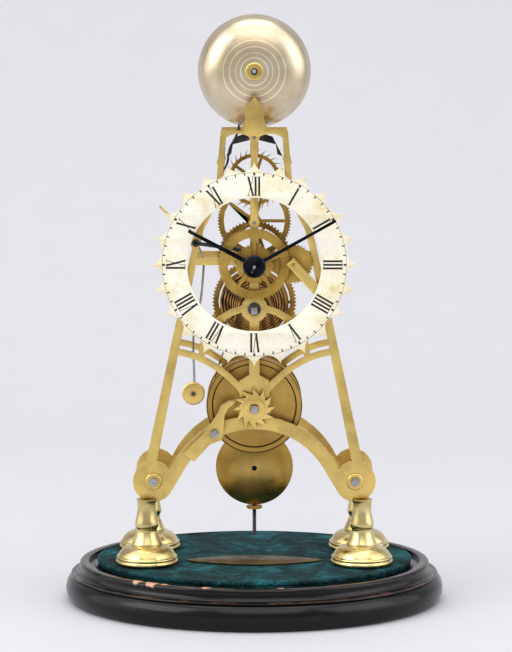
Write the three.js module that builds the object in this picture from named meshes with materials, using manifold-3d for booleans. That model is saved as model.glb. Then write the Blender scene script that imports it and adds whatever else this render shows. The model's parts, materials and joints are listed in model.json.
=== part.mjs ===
// A spring-driven skeleton clock on an oval moulded base: two pierced brass plates on four turned feet,
// a fusee train between them, a star-edged chapter ring in front, a bell above and a pendulum behind.
// Millimetres. +X is to the viewer's right, +Y points from the front to the back, +Z is up.
// The origin is the middle of the underside of the base.
import * as THREE from "three";
import { mergeVertices } from "three/addons/utils/BufferGeometryUtils.js";
import Module from "manifold-3d";

const wasm = await Module();
wasm.setup();

// Clearances
const seatGap = 0.3;
const boreFit = 0.25;
const cutOverrun = 1;
const weldTolerance = 1e-3;
const sliverTolerance = 0.02;

// Base: ovals given by their inset from the widest one
const baseHalfLength = 135.5;
const baseHalfDepth = 113.5;
const torusHeight = 18.9;
const torusBow = 6.4;
const rimInset = 10.7;
const rimFootInset = 12.4;
const rimFootHeight = 20.6;
const rimTop = 28.3;
const rimRound = 1.2;
const rimWidth = 6;
const domeGrooveWidth = 4.4;
const domeGrooveDepth = 3.2;
const padRecessFloor = 26.3;
const padInset = 23.1;
const padTop = 30.8;
const padRound = 1.6;
const plaqueHalfLength = 48.6;
const plaqueHalfDepth = 14.6;
const plaqueThickness = 1;
const plaqueY = -21;

// Feet
const footX = 76.2;
const footHeight = 46;
const footBaseRadius = 21.8;
const footNeckRadius = 7;
const footBaseShares = [[1, 0], [1.02, 0.05], [0.98, 0.14], [0.9, 0.18], [0.71, 0.25], [0.5, 0.29]];
const footNeckShares = [
  [1.55, 0.31], [1.25, 0.43], [1.1, 0.51], [1.26, 0.58], [1.26, 0.62], [0.98, 0.76], [0.9, 0.88], [1.03, 1],
];

// Plates
const plateThickness = 3;
const frontPlateY = -28;
const plateSpacing = 51;
const footDiscX = 71.3;
const footDiscZ = 89.6;
const footDiscRadius = 14.6;
const archCentreZ = 70.4;
const archInner = 56.7;
const archOuter = 66.1;
const archEndAngle = 16;
const topBarZ = 337.3;
const topBarBand = 5.4;
const topHalf = 23.4;
const topLegWidth = 3.2;
const archLightRise = 3.1;
const lintelDepth = 1.6;
const shoulderZ = 303;
const shoulderOuterX = 26.3;
const shoulderInnerX = 22;
const legSweepX = 27.9;
const legSweepZ = 284;
const cuspZ = 271.8;
const cuspInnerX = 33.3;
const cuspOuterX = 39.6;
const cuspRise = 4.6;
const cuspNotchX = 35.2;
const cuspNotchZ = 268.6;
const legTopZ = 255.2;
const legTopInnerX = 38.7;
const legTopOuterX = 43.6;
const legFootZ = 97;
const legFootInnerX = 70.3;
const legFootOuterX = 78;
const spineHalfTop = 2.2;
const spineHalf = 2.95;
const spineHalfLow = 3.8;
const crossBarBottom = 243.1;
const crossBarTop = 248.2;
const fuseeArchZ = 176.1;
const fuseeArchOuter = 39.7;
const fuseeArchInner = 35;
const armBand = 4.6;
const armStartX = 53.6;
const armStartZ = 182;
const armBendX = 28;
const armBendZ = 178;
const armEndX = 7.5;
const armEndZ = 153.4;
const barrelBossRadius = 12;
const barrelStemHalf = 10.5;
const barrelStemTop = 161.7;
const fuseeBossRadius = 9.5;
const centreBossRadius = 6.4;
const pivotBossRadius = 3.8;
const finialHeight = 23.4;
const finialShoulderRise = 14.2;
const finialNeckRise = 7.6;
const finialShoulder = 7.1;
const finialNeck = 6.5;
const finialFlare = 9.2;
const tongueFoot = 9;
const tongueHalf = 4.6;

// Spacers and screws
const spacerRadius = 5.2;
const spacerWaist = 3.6;
const spacerCollar = 4.2;
const washerRadius = 5.8;
const washerThickness = 1.1;
const screwRadius = 1.5;
const screwHeadRadius = 3;
const screwHeadHeight = 1.8;
const screwSlotWidth = 0.8;
const screwSlotDepth = 0.8;
const screwReach = 9;
const topPillarX = 23.3;
const topPillarZ = 315;
const topPillarRadius = 2.2;
const topPillarBoss = 3;

// Arbors: their heights and their thickness
const barrelZ = 142.3;
const fuseeZ = 212.3;
const centreZ = 244.5;
const thirdZ = 273;
const escapeZ = 300.7;
const palletZ = 332.3;
const arborRadius = 1.5;
const pivotRadius = 1;
const endShake = 0.5;
const fuseeArborRadius = 3.6;
const fuseeSquare = 4.4;
const fuseeSquareFront = -43;
const barrelArborRadius = 3;
const barrelSquare = 4.8;
const barrelSquareFront = -39;

// Dial and hands
const dialFace = -39;
const dialThickness = 1.4;
const dialInner = 46.6;
const dialValley = 64.4;
const dialTip = 71.9;
const dialTips = 24;
const dialPostRadius = 1.9;
const dialPosts = { top: [0, 62.5], left: [-50.2, -32.5], right: [50.2, -32.5] };
const hourAngle = 297.9;
const minuteAngle = 60.75;
const hourReach = 52;
const minuteReach = 65;
const handTipShare = 0.985;
const hourRootWidth = 3.3;
const hourTipWidth = 2.3;
const minuteRootWidth = 2.6;
const minuteTipWidth = 1.9;
const handThickness = 1;
const hourHandY = -46.2;
const minuteHandY = -50;
const hourHubRadius = 6;
const minuteHubRadius = 4.6;
const collarRadius = 7.9;
const collarThickness = 2.2;
const centreNoseY = -56;
const centreNoseRadius = 1.1;
const cannonPipeRadius = 2.2;
const hourPipeRadius = 3.5;
const pipeStand = 0.8;

// Wheelwork: a tooth stands beyond and cuts below its pitch circle by these shares of the module
const addendumShare = 0.75;
const dedendumShare = 1.15;
const wheelThickness = 2;
const motionThickness = 1.4;
const greatTeeth = 72;
const centreLeaves = 6;
const centreTeeth = 60;
const thirdLeaves = 6;
const thirdTeeth = 72;
const escapeLeaves = 6;
const cannonTeeth = 36;
const minuteLeaves = 6;
const hourTeeth = 72;
const wheelArms = 5;
const wheelArmHalf = 1.1;
const wheelHub = 5;
const wheelRimBand = 4;
const hourRimBand = 6.4;
const pinionOverrun = 1.2;
const greatFront = 16.6;
const centreFront = 20.8;
const thirdFront = -12;
const escapeFront = 12;
const cannonFront = -32;
const hourFront = -34.9;
const minuteX = 27.13;
const minuteZ = 244.5;
const cockFront = -37.2;
const cockThickness = 1.5;
const cockHalf = 3.5;
const cockFootX = 48.4;
const cockFootZ = 221.1;
const cockFootRadius = 2.7;
const liftPinRing = 11.5;
const liftPinAngle = 217;
const liftPinRadius = 0.8;
const liftPinReach = 1.4;

// Escapement
const escapeTeeth = 30;
const escapeTip = 22.6;
const escapeRootRadius = 18.4;
const escapeRimInner = 15.8;
const escapeLean = 5;
const escapeToothRootShare = 0.3;
const escapeThickness = 1.4;
const anchorThickness = 1.6;
const anchorHub = 3.4;
const nibX = 16.4;
const nibDrop = 13.6;
const nibOuterX = 20.2;
const nibOuterDrop = 15.2;
const anchorArmX = 15.2;
const anchorArmDrop = 6.6;
const anchorShoulderX = 13;
const anchorShoulderDrop = 1.2;
const anchorCrownRise = 3.3;
const anchorBellyDrop = 3.6;
const anchorBellyX = 3;
const crutchStand = 2;
const crutchThickness = 1.4;
const crutchHalf = 1.5;
const crutchDrop = 44;
const forkHeight = 3;
const forkWall = 1.6;
const forkRun = 7;

// Fusee, line and barrel
const fuseeFrontY = -13;
const fuseeBackY = 14;
const fuseeSmall = 9.4;
const fuseeLarge = 24.6;
const fuseeFlareShare = 0.55;
const fuseeRings = 5;
const lineRadius = 0.65;
const lineGap = 0.5;
const fuseeTurns = 8;
const barrelTurns = 1.25;
const barrelLinePitch = 3;
const lineSteps = 24;
const lineSides = 6;
const lineMargin = 1.6;
const barrelFrontY = -18;
const barrelLength = 33;
const barrelRadius = 34;
const barrelDrum = 32.2;
const barrelInside = 29.8;
const barrelFlange = 2;
const barrelWall = 2.2;
const capRecess = 0.8;
const springOuter = 29.2;
const springInner = 3.5;

// Set-up ratchet and click
const ratchetTeeth = 12;
const ratchetTip = 14.9;
const ratchetRoot = 9.4;
const ratchetPhase = 155;
const ratchetFront = -31.4;
const ratchetThickness = 2;
const ratchetBellyShare = 0.66;
const ratchetCollar = 7.7;
const ratchetCollarHeight = 1.2;
const clickX = -28;
const clickZ = 124.4;
const clickFront = -30.8;
const clickThickness = 1.6;
const clickReach = 23.4;
const clickShares = [
  [-0.966, -0.615], [-0.615, -0.859], [-0.137, -0.329], [0.214, -0.205], [0.269, 0.038], [0.286, 0.282],
  [0.303, 0.564], [0.415, 0.761], [0.581, 0.897], [0.628, 1], [0.423, 1], [0.192, 0.855], [0.047, 0.538],
  [-0.128, 0.282], [-0.35, -0.017],
];

// Bell
const bellZ = 377.7;
const bellRadius = 40;
const bellFront = -13;
const bellDepth = 23;
const bellWall = 1.7;
const bellShares = [[0.3, 0.015], [0.56, 0.08], [0.76, 0.22], [0.89, 0.44], [0.955, 0.72], [1, 1]];
const bellPostRadius = 1.8;
const bellShoulderRadius = 3;
const bellWasherRadius = 6.4;
const bellWasherThickness = 1.2;
const bellStudStand = 3;

// Hammer: each wire by shares of its bow sideways and of its drop or rise
const hammerX = -41;
const hammerZ = 258.8;
const hammerBoss = 4.2;
const hammerWireRadius = 0.9;
const hammerFrontY = -14;
const hammerBackY = 17;
const hammerLowerBow = 5;
const hammerLowerShares = [[0, 0], [1, 0.12], [0.88, 0.27], [0.52, 0.41], [-0.4, 0.62], [-0.32, 0.91]];
const hammerUpperBow = 30;
const hammerUpperShares = [
  [0, 0], [0.15, 0.12], [0.45, 0.28], [0.56, 0.39], [0.72, 0.47], [0.78, 0.56], [0.95, 0.65], [1, 0.72],
  [0.93, 0.82], [0.6, 0.94],
];
const repeatArmY = -20;
const repeatArmRun = 25.5;
const repeatArmRise = 25.2;
const repeatArmShares = [[0, 0], [0.55, 0.565], [1, 1]];
const wireSides = 6;
const hammerWeightX = -43.2;
const hammerWeightZ = 150.6;
const hammerWeightRadius = 8;
const hammerWeightThickness = 5.2;
const hammerWeightBore = 2;
const hammerHeadRadius = 3.2;
const hammerHeadLength = 6;
const hammerHeadX = -31.4;
const hammerHeadY = 8;
const hammerHeadZ = 372;
const tailFront = -29.8;
const tailThickness = 1.2;
const tailHalf = 1.3;
const tailEndX = 15.4;
const tailEndZ = 250.2;

// Pendulum
const pendulumStand = 15;
const bobZ = 87.8;
const bobRadius = 28.3;
const bobHalfThickness = 7;
const bobShares = [[0.36, 0.93], [0.68, 0.66], [0.9, 0.32], [1, 0.12]];
const rodRadius = 1.5;
const rodBottom = 36.4;
const nutRadius = 5.9;
const nutHeight = 2.4;
const blockHalf = 3;
const blockTop = 326;
const blockHeight = 9;
const springHalf = 0.3;
const springWidth = 5;
const springTop = 345;
const swingRoom = 0.7;
const cockBottom = 340.4;
const cockHeight = 7;
const pendulumCockHalf = 4.6;
const pendulumCockTail = 4;

// Numbers of facets
const fineRing = 20;
const roundRing = 12;
const smallRing = 8;

const degree = Math.PI / 180;
const turn = Math.PI * 2;
const upwards = Math.PI / 2;

// Places that follow from the sizes above
const frontPlateBack = frontPlateY + plateThickness;
const backPlateY = frontPlateBack + plateSpacing;
const backPlateBack = backPlateY + plateThickness;
const crutchY = backPlateBack + crutchStand;
const pendulumY = backPlateBack + pendulumStand;
const hammerRise = hammerHeadZ - hammerZ;
const hammerDrop = hammerZ - hammerWeightZ;

const brass = { color: 0xc9a553, roughness: 0.34, metalness: 1 };
const agedBrass = { color: 0xa9823a, roughness: 0.42, metalness: 1 };
const silvered = { color: 0xf2ead0, roughness: 0.5, metalness: 0.4 };
const bellMetal = { color: 0xd8c0a0, roughness: 0.26, metalness: 1 };
const steel = { color: 0x9a9a9c, roughness: 0.35, metalness: 1 };
const blued = { color: 0x20222a, roughness: 0.3, metalness: 1 };
const ebonised = { color: 0x16130f, roughness: 0.32, metalness: 0 };
const velvet = { color: 0x1f4a4c, roughness: 0.95, metalness: 0 };
const gut = { color: 0xb08a4a, roughness: 0.6, metalness: 0 };

const point = (x, y) => new THREE.Vector2(x, y);
const polar = (radius, a) => point(radius * Math.cos(a), radius * Math.sin(a));
const place = (x, y, z) => new THREE.Vector3(x, y, z);

// A closed solid with shared corners, turned so that its faces point out.
function solidOf(geometry) {
  const bare = geometry.index ? geometry.toNonIndexed() : geometry;
  const placed = new THREE.BufferGeometry().setAttribute("position", bare.getAttribute("position"));
  const merged = mergeVertices(placed, weldTolerance);
  const triVerts = new Uint32Array(merged.index.array);
  const vertProperties = merged.attributes.position.array;
  const make = () => new wasm.Manifold(new wasm.Mesh({ numProp: 3, vertProperties, triVerts }));
  const made = make();
  if (made.volume() > 0) return made;
  for (let i = 0; i < triVerts.length; i += 3) {
    [triVerts[i + 1], triVerts[i + 2]] = [triVerts[i + 2], triVerts[i + 1]];
  }
  return make();
}

// A drawable surface, without the slivers that joining and cutting leave in flat faces.
function geometryOf(solid) {
  const mesh = solid.asOriginal().simplify(sliverTolerance).getMesh();
  const made = new THREE.BufferGeometry();
  made.setAttribute("position", new THREE.BufferAttribute(mesh.vertProperties, mesh.numProp));
  made.setIndex(new THREE.BufferAttribute(mesh.triVerts, 1));
  return made;
}

const join = (solids) => solids.reduce((whole, next) => whole.add(next));
const cut = (solid, tools) => tools.reduce((left, tool) => left.subtract(tool), solid);

// Points of an arc about (x, y), both ends included.
function arc(x, y, radius, from, to, steps) {
  return Array.from({ length: steps + 1 }, (_, i) => {
    const a = from + ((to - from) * i) / steps;
    return point(x + radius * Math.cos(a), y + radius * Math.sin(a));
  });
}

const ring = (x, y, radius, steps) => arc(x, y, radius, 0, turn, steps).slice(0, steps);

// A flat piece: an outline in X and Z, with holes, from its front face back through its thickness.
function flat(outline, front, thickness, holes = []) {
  const shape = new THREE.Shape(outline);
  holes.forEach((hole) => shape.holes.push(new THREE.Path(hole)));
  const made = new THREE.ExtrudeGeometry(shape, { depth: thickness, bevelEnabled: false });
  return solidOf(made.rotateX(upwards).translate(0, front + thickness, 0));
}

// A turned piece about the Y axis; the profile is pairs of radius and Y.
const turned = (profile, steps) =>
  solidOf(new THREE.LatheGeometry(profile.map(([r, y]) => point(r, y)), steps));

// A turned piece about the Z axis; the profile is pairs of radius and Z.
const turnedUpright = (profile, steps) =>
  solidOf(new THREE.LatheGeometry(profile.map(([r, z]) => point(r, z)), steps).rotateX(upwards));

const rod = (radius, front, back, steps = smallRing) =>
  turned([[0, front], [radius, front], [radius, back], [0, back]], steps);

const tube = (bore, radius, front, back, steps = roundRing) =>
  turned([[bore, front], [radius, front], [radius, back], [bore, back], [bore, front]], steps);

function box(x0, x1, y0, y1, z0, z1) {
  const made = new THREE.BoxGeometry(x1 - x0, y1 - y0, z1 - z0);
  return solidOf(made.translate((x0 + x1) / 2, (y0 + y1) / 2, (z0 + z1) / 2));
}

const moved = (solid, x, y, z) => solid.translate([x, y, z]);

// A skin of rings of corners, closed by a point in the middle of each end.
function skin(rings) {
  const sides = rings[0].length;
  const last = (rings.length - 1) * sides;
  const corners = rings.flat();
  const middle = (corner) => corner.reduce((sum, p) => sum.add(p), place(0, 0, 0)).divideScalar(sides);
  const start = corners.length;
  corners.push(middle(rings[0]));
  const end = corners.length;
  corners.push(middle(rings.at(-1)));
  const indices = [];
  for (let k = 0; k < sides; k += 1) {
    const next = (k + 1) % sides;
    indices.push(start, k, next, end, last + next, last + k);
    for (let row = 0; row < last; row += sides) {
      const a = row + k;
      const b = row + next;
      indices.push(a, a + sides, b + sides, a, b + sides, b);
    }
  }
  const made = new THREE.BufferGeometry();
  made.setAttribute("position", new THREE.Float32BufferAttribute(corners.flatMap((p) => p.toArray()), 3));
  made.setIndex(indices);
  return solidOf(made);
}

// An oval moulding: pairs of inset from the widest oval of the base, and height.
function oval(profile, steps) {
  const rings = profile.map(([inset, z]) =>
    Array.from({ length: steps }, (_, i) => {
      const a = (turn * i) / steps;
      return place((baseHalfLength - inset) * Math.cos(a), (baseHalfDepth - inset) * Math.sin(a), z);
    }),
  );
  return skin(rings);
}

// A round wire along a route that never runs along Y.
function wire(route, radius, sides) {
  const rings = route.map((at, i) => {
    const before = route[Math.max(i - 1, 0)];
    const after = route[Math.min(i + 1, route.length - 1)];
    const along = after.clone().sub(before).normalize();
    const side = along.clone().cross(place(0, 1, 0)).normalize();
    const rise = side.clone().cross(along);
    return Array.from({ length: sides }, (_, k) => {
      const a = (turn * k) / sides;
      const corner = at.clone().addScaledVector(side, radius * Math.cos(a));
      return corner.addScaledVector(rise, radius * Math.sin(a));
    });
  });
  return skin(rings);
}

// Outline of a toothed wheel: one point at each tip and one at each root.
function teeth(count, pitchRadius, phase) {
  const module = (2 * pitchRadius) / count;
  const tip = pitchRadius + addendumShare * module;
  const low = pitchRadius - dedendumShare * module;
  return Array.from({ length: 2 * count }, (_, i) => {
    const a = phase + (Math.PI * i) / count;
    const r = i % 2 ? low : tip;
    return polar(r, a);
  });
}

// The phase that sets a gap of one wheel at the tooth of its neighbour on the line of centres.
function meshedPhase(count, phase, neighbourCount, direction) {
  const steps = (direction - phase) / (turn / count);
  const past = steps - Math.floor(steps);
  return direction + Math.PI + (past + 1 / 2) * (turn / neighbourCount);
}

// The windows between the arms of a wheel.
function crossings(hub, rim, firstAngle = 0) {
  const hubSteps = 1;
  const rimSteps = 4;
  const inner = Math.asin(wheelArmHalf / hub);
  const outer = Math.asin(wheelArmHalf / rim);
  return Array.from({ length: wheelArms }, (_, i) => {
    const from = firstAngle + (turn * i) / wheelArms;
    const to = firstAngle + (turn * (i + 1)) / wheelArms;
    return [
      ...arc(0, 0, hub, to - inner, from + inner, hubSteps),
      ...arc(0, 0, rim, from + outer, to - outer, rimSteps),
    ];
  });
}

const wheel = (count, pitch, phase, front, bore, band = wheelRimBand) =>
  flat(teeth(count, pitch, phase), front, wheelThickness, [
    ...crossings(wheelHub, pitch - band),
    ring(0, 0, bore, roundRing),
  ]);

// Pitch radius of a wheel that shares a centre distance with a pinion.
const pitchOf = (distance, count, otherCount) => (distance * count) / (count + otherCount);

const greatPitch = pitchOf(centreZ - fuseeZ, greatTeeth, centreLeaves);
const centrePinionPitch = pitchOf(centreZ - fuseeZ, centreLeaves, greatTeeth);
const centrePitch = pitchOf(thirdZ - centreZ, centreTeeth, thirdLeaves);
const thirdPinionPitch = pitchOf(thirdZ - centreZ, thirdLeaves, centreTeeth);
const thirdPitch = pitchOf(escapeZ - thirdZ, thirdTeeth, escapeLeaves);
const escapePinionPitch = pitchOf(escapeZ - thirdZ, escapeLeaves, thirdTeeth);
const minuteDistance = Math.hypot(minuteX, minuteZ - centreZ);
const minuteDirection = Math.atan2(minuteZ - centreZ, minuteX);
const cannonPitch = pitchOf(minuteDistance, cannonTeeth, cannonTeeth);
const hourPitch = pitchOf(minuteDistance, hourTeeth, minuteLeaves);
const minutePinionPitch = pitchOf(minuteDistance, minuteLeaves, hourTeeth);
const centrePinionPhase = meshedPhase(greatTeeth, 0, centreLeaves, upwards);
const thirdPinionPhase = meshedPhase(centreTeeth, 0, thirdLeaves, upwards);
const escapePinionPhase = meshedPhase(thirdTeeth, 0, escapeLeaves, upwards);
const minutePhase = meshedPhase(cannonTeeth, 0, cannonTeeth, minuteDirection);
const minutePinionPhase = meshedPhase(hourTeeth, 0, minuteLeaves, minuteDirection);

const root = new THREE.Group();

function add(parent, name, solid, finish) {
  const mesh = new THREE.Mesh(geometryOf(solid), new THREE.MeshStandardMaterial(finish));
  mesh.name = name;
  parent.add(mesh);
  return mesh;
}

function groupAt(x, z) {
  const group = new THREE.Group();
  group.position.set(x, 0, z);
  root.add(group);
  return group;
}

// Base, velvet pad and bare plaque
function buildBase() {
  const half = torusHeight / 2;
  const torusSteps = 6;
  const torus = Array.from({ length: torusSteps + 1 }, (_, i) => {
    const a = -upwards + (Math.PI * i) / torusSteps;
    return [torusBow * (1 - Math.cos(a)), half + half * Math.sin(a)];
  });
  const grooveInset = rimInset + rimWidth;
  const profile = [
    ...torus,
    [rimFootInset, rimFootHeight],
    [rimInset, rimTop - rimRound],
    [rimInset + rimRound, rimTop],
    [grooveInset, rimTop],
    [grooveInset, rimTop - domeGrooveDepth],
    [grooveInset + domeGrooveWidth, rimTop - domeGrooveDepth],
    [grooveInset + domeGrooveWidth, padRecessFloor],
  ];
  add(root, "base_moulding", oval(profile, 40), ebonised);
  const padProfile = [
    [padInset, padRecessFloor + seatGap],
    [padInset, padTop - padRound],
    [padInset + padRound, padTop],
  ];
  add(root, "velvet_pad", oval(padProfile, 40), velvet);
  const bow = (plaqueHalfLength ** 2 - plaqueHalfDepth ** 2) / (2 * plaqueHalfDepth);
  const radius = bow + plaqueHalfDepth;
  const span = Math.asin(plaqueHalfLength / radius);
  const steps = 10;
  const outline = [
    ...arc(0, -bow, radius, upwards - span, upwards + span, steps),
    ...arc(0, bow, radius, -upwards - span, -upwards + span, steps).slice(1, steps),
  ];
  const slab = new THREE.ExtrudeGeometry(new THREE.Shape(outline), {
    depth: plaqueThickness,
    bevelEnabled: false,
  });
  const plaque = add(root, "plaque", solidOf(slab), agedBrass);
  plaque.position.set(0, plaqueY, padTop + seatGap);
}

// Turned feet, slotted at the top for the rounded ends of the plates
function buildFeet() {
  const profile = [
    [0, 0],
    ...footBaseShares.map(([r, z]) => [r * footBaseRadius, z * footHeight]),
    ...footNeckShares.map(([r, z]) => [r * footNeckRadius, z * footHeight]),
    [0, footHeight],
  ];
  const foot = turnedUpright(profile, 14);
  const bottom = padTop + seatGap;
  const slotHalf = plateThickness / 2 + seatGap;
  const slot = flat(ring(0, 0, footDiscRadius + seatGap, fineRing), -slotHalf, 2 * slotHalf);
  const rows = { front: frontPlateY + plateThickness / 2, back: backPlateY + plateThickness / 2 };
  Object.entries(rows).forEach(([row, y]) => {
    [["left", -1], ["right", 1]].forEach(([side, sign]) => {
      const placed = moved(slot, sign * (footDiscX - footX), 0, footDiscZ - bottom);
      const mesh = add(root, `foot_${row}_${side}`, foot.subtract(placed), brass);
      mesh.position.set(sign * footX, y, bottom);
    });
  });
}

const mirrored = (outline, sign) => outline.map(({ x, y }) => point(sign * x, y));

const curve = (from, control, to, steps) =>
  new THREE.QuadraticBezierCurve(point(...from), point(...control), point(...to)).getPoints(steps);

// The leg of a plate from its top corner down to its rounded end
function legOutline() {
  const steps = 5;
  const outer = curve([shoulderOuterX, shoulderZ], [legSweepX, legSweepZ], [cuspOuterX, cuspZ], steps);
  const inner = curve(
    [cuspInnerX, cuspZ],
    [shoulderInnerX + cuspRise / 2, legSweepZ + cuspRise],
    [shoulderInnerX, shoulderZ],
    steps,
  );
  return [
    point(topHalf, topBarZ),
    ...outer,
    point(legTopOuterX, legTopZ),
    point(legFootOuterX, legFootZ),
    point(legFootInnerX, legFootZ),
    point(legTopInnerX, legTopZ),
    point(cuspNotchX, cuspNotchZ),
    ...inner,
    point(topHalf - topLegWidth, topBarZ - topBarBand),
    point(topHalf - topLegWidth, topBarZ),
  ];
}

// An arm curving from a leg down to the boss of the barrel
function armOutline() {
  const steps = 7;
  const spine = curve([armStartX, armStartZ], [armBendX, armBendZ], [armEndX, armEndZ], steps);
  const beside = (side) =>
    spine.map((p, i) => {
      const along = spine[Math.min(i + 1, steps)].clone().sub(spine[Math.max(i - 1, 0)]).normalize();
      return point(p.x - (side * along.y * armBand) / 2, p.y + (side * along.x * armBand) / 2);
    });
  return [...beside(1), ...beside(-1).reverse()];
}

// The head of a plate: a bar over two arched lights, with a pointed finial or a tongue for the bell
function headOutline(withFinial) {
  const spring = topBarZ - topBarBand;
  const lightHalf = (topHalf - topLegWidth - spineHalfTop) / 2;
  const middle = spineHalfTop + lightHalf;
  const radius = (lightHalf ** 2 + archLightRise ** 2) / (2 * archLightRise);
  const span = Math.asin(lightHalf / radius);
  const light = (x) =>
    arc(x, spring + archLightRise - radius, radius, upwards - span, upwards + span, 5).reverse();
  const finial = [
    point(finialFlare, topBarZ),
    point(finialNeck, topBarZ + finialNeckRise),
    point(finialShoulder, topBarZ + finialShoulderRise),
    point(0, topBarZ + finialHeight),
    point(-finialShoulder, topBarZ + finialShoulderRise),
    point(-finialNeck, topBarZ + finialNeckRise),
    point(-finialFlare, topBarZ),
  ];
  const tongue = [
    point(tongueFoot, topBarZ),
    ...arc(0, bellZ, tongueHalf, 0, Math.PI, 8),
    point(-tongueFoot, topBarZ),
  ];
  return [
    point(topHalf, spring),
    point(topHalf, topBarZ),
    ...(withFinial ? finial : tongue),
    point(-topHalf, topBarZ),
    point(-topHalf, spring),
    ...light(-middle),
    point(-spineHalfTop, spring - lintelDepth),
    point(spineHalfTop, spring - lintelDepth),
    ...light(middle),
  ];
}

// Where the underside of the arch leaves its circle on a straight edge and where that edge meets the foot disc:
// it touches both circles, so the arch runs into the disc without a corner
function archFoot() {
  const rise = footDiscZ - archCentreZ;
  const discReach = footDiscRadius * Math.cos(Math.PI / fineRing);
  const lean = Math.min(1, (archInner + discReach) / Math.hypot(footDiscX, rise));
  const leave = Math.atan2(rise, footDiscX) + Math.acos(lean);
  const meet = point(footDiscX - discReach * Math.cos(leave), footDiscZ - discReach * Math.sin(leave));
  return { leave, meet };
}

function plate(front, withFinial) {
  const slab = (outline) => flat(outline, front, plateThickness);
  const disc = (x, z, radius, steps = roundRing) => slab(ring(x, z, radius, steps));
  const archEnd = archEndAngle * degree;
  const { leave, meet } = archFoot();
  const arch = [
    ...arc(0, archCentreZ, archOuter, archEnd, Math.PI - archEnd, 18),
    point(-meet.x, meet.y),
    ...arc(0, archCentreZ, archInner, Math.PI - leave, leave, 18),
    meet,
  ];
  const fuseeArch = [
    ...arc(0, fuseeArchZ, fuseeArchOuter, 0, Math.PI, 14),
    ...arc(0, fuseeArchZ, fuseeArchInner, Math.PI, 0, 14),
  ];
  const spine = [
    point(-spineHalfTop, topBarZ - topBarBand / 2),
    point(-spineHalf, thirdZ),
    point(-spineHalfLow, barrelZ),
    point(spineHalfLow, barrelZ),
    point(spineHalf, thirdZ),
    point(spineHalfTop, topBarZ - topBarBand / 2),
  ];
  const stem = [
    point(-barrelStemHalf, barrelZ),
    point(barrelStemHalf, barrelZ),
    point(barrelStemHalf, barrelStemTop),
    point(spineHalfLow, barrelStemTop + spineHalfLow),
    point(-spineHalfLow, barrelStemTop + spineHalfLow),
    point(-barrelStemHalf, barrelStemTop),
  ];
  const barHalf = (legTopInnerX + legTopOuterX) / 2;
  const bar = [
    point(-barHalf, crossBarBottom),
    point(barHalf, crossBarBottom),
    point(barHalf, crossBarTop),
    point(-barHalf, crossBarTop),
  ];
  const pieces = [
    slab(headOutline(withFinial)),
    slab(spine),
    slab(stem),
    slab(bar),
    slab(arch),
    slab(fuseeArch),
    disc(0, barrelZ, barrelBossRadius, fineRing),
    disc(0, fuseeZ, fuseeBossRadius),
    disc(0, centreZ, centreBossRadius),
    disc(0, thirdZ, pivotBossRadius, smallRing),
    disc(0, escapeZ, pivotBossRadius, smallRing),
    disc(0, palletZ, pivotBossRadius, smallRing),
    disc(hammerX, hammerZ, hammerBoss, smallRing),
  ];
  [-1, 1].forEach((sign) => {
    pieces.push(slab(mirrored(legOutline(), sign)), slab(mirrored(armOutline(), sign)));
    pieces.push(disc(sign * footDiscX, footDiscZ, footDiscRadius, fineRing));
    pieces.push(disc(sign * topPillarX, topPillarZ, topPillarBoss, smallRing));
  });
  const bores = [
    [0, barrelZ, barrelArborRadius],
    [0, fuseeZ, fuseeArborRadius],
    [0, centreZ, arborRadius],
    [0, thirdZ, pivotRadius],
    [0, escapeZ, pivotRadius],
    [0, palletZ, withFinial ? pivotRadius : arborRadius],
    [hammerX, hammerZ, pivotRadius],
    [-footDiscX, footDiscZ, screwRadius],
    [footDiscX, footDiscZ, screwRadius],
  ];
  if (withFinial) {
    bores.push([cockFootX, cockFootZ, screwRadius], [clickX, clickZ, screwRadius]);
  } else {
    bores.push([0, bellZ, bellPostRadius]);
  }
  const drills = bores.map(([x, z, radius]) =>
    flat(ring(x, z, radius + boreFit, roundRing), front - cutOverrun, plateThickness + 2 * cutOverrun),
  );
  return cut(join(pieces), drills);
}

function buildPlates() {
  add(root, "front_plate", plate(frontPlateY, true), brass);
  add(root, "back_plate", plate(backPlateY, false), brass);
}

// A slotted screw along Y whose head rests on a face and stands out by the sign of out
function screw(face, out, tip) {
  const top = face + out * screwHeadHeight;
  const body = turned(
    [
      [0, tip], [screwRadius, tip], [screwRadius, face], [screwHeadRadius, face], [screwHeadRadius, top],
      [0, top],
    ],
    smallRing,
  );
  const half = screwSlotWidth / 2;
  const run = screwHeadRadius + cutOverrun;
  const floor = top - out * screwSlotDepth;
  const beyond = top + out * cutOverrun;
  return body.subtract(box(-run, run, Math.min(floor, beyond), Math.max(floor, beyond), -half, half));
}

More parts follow.
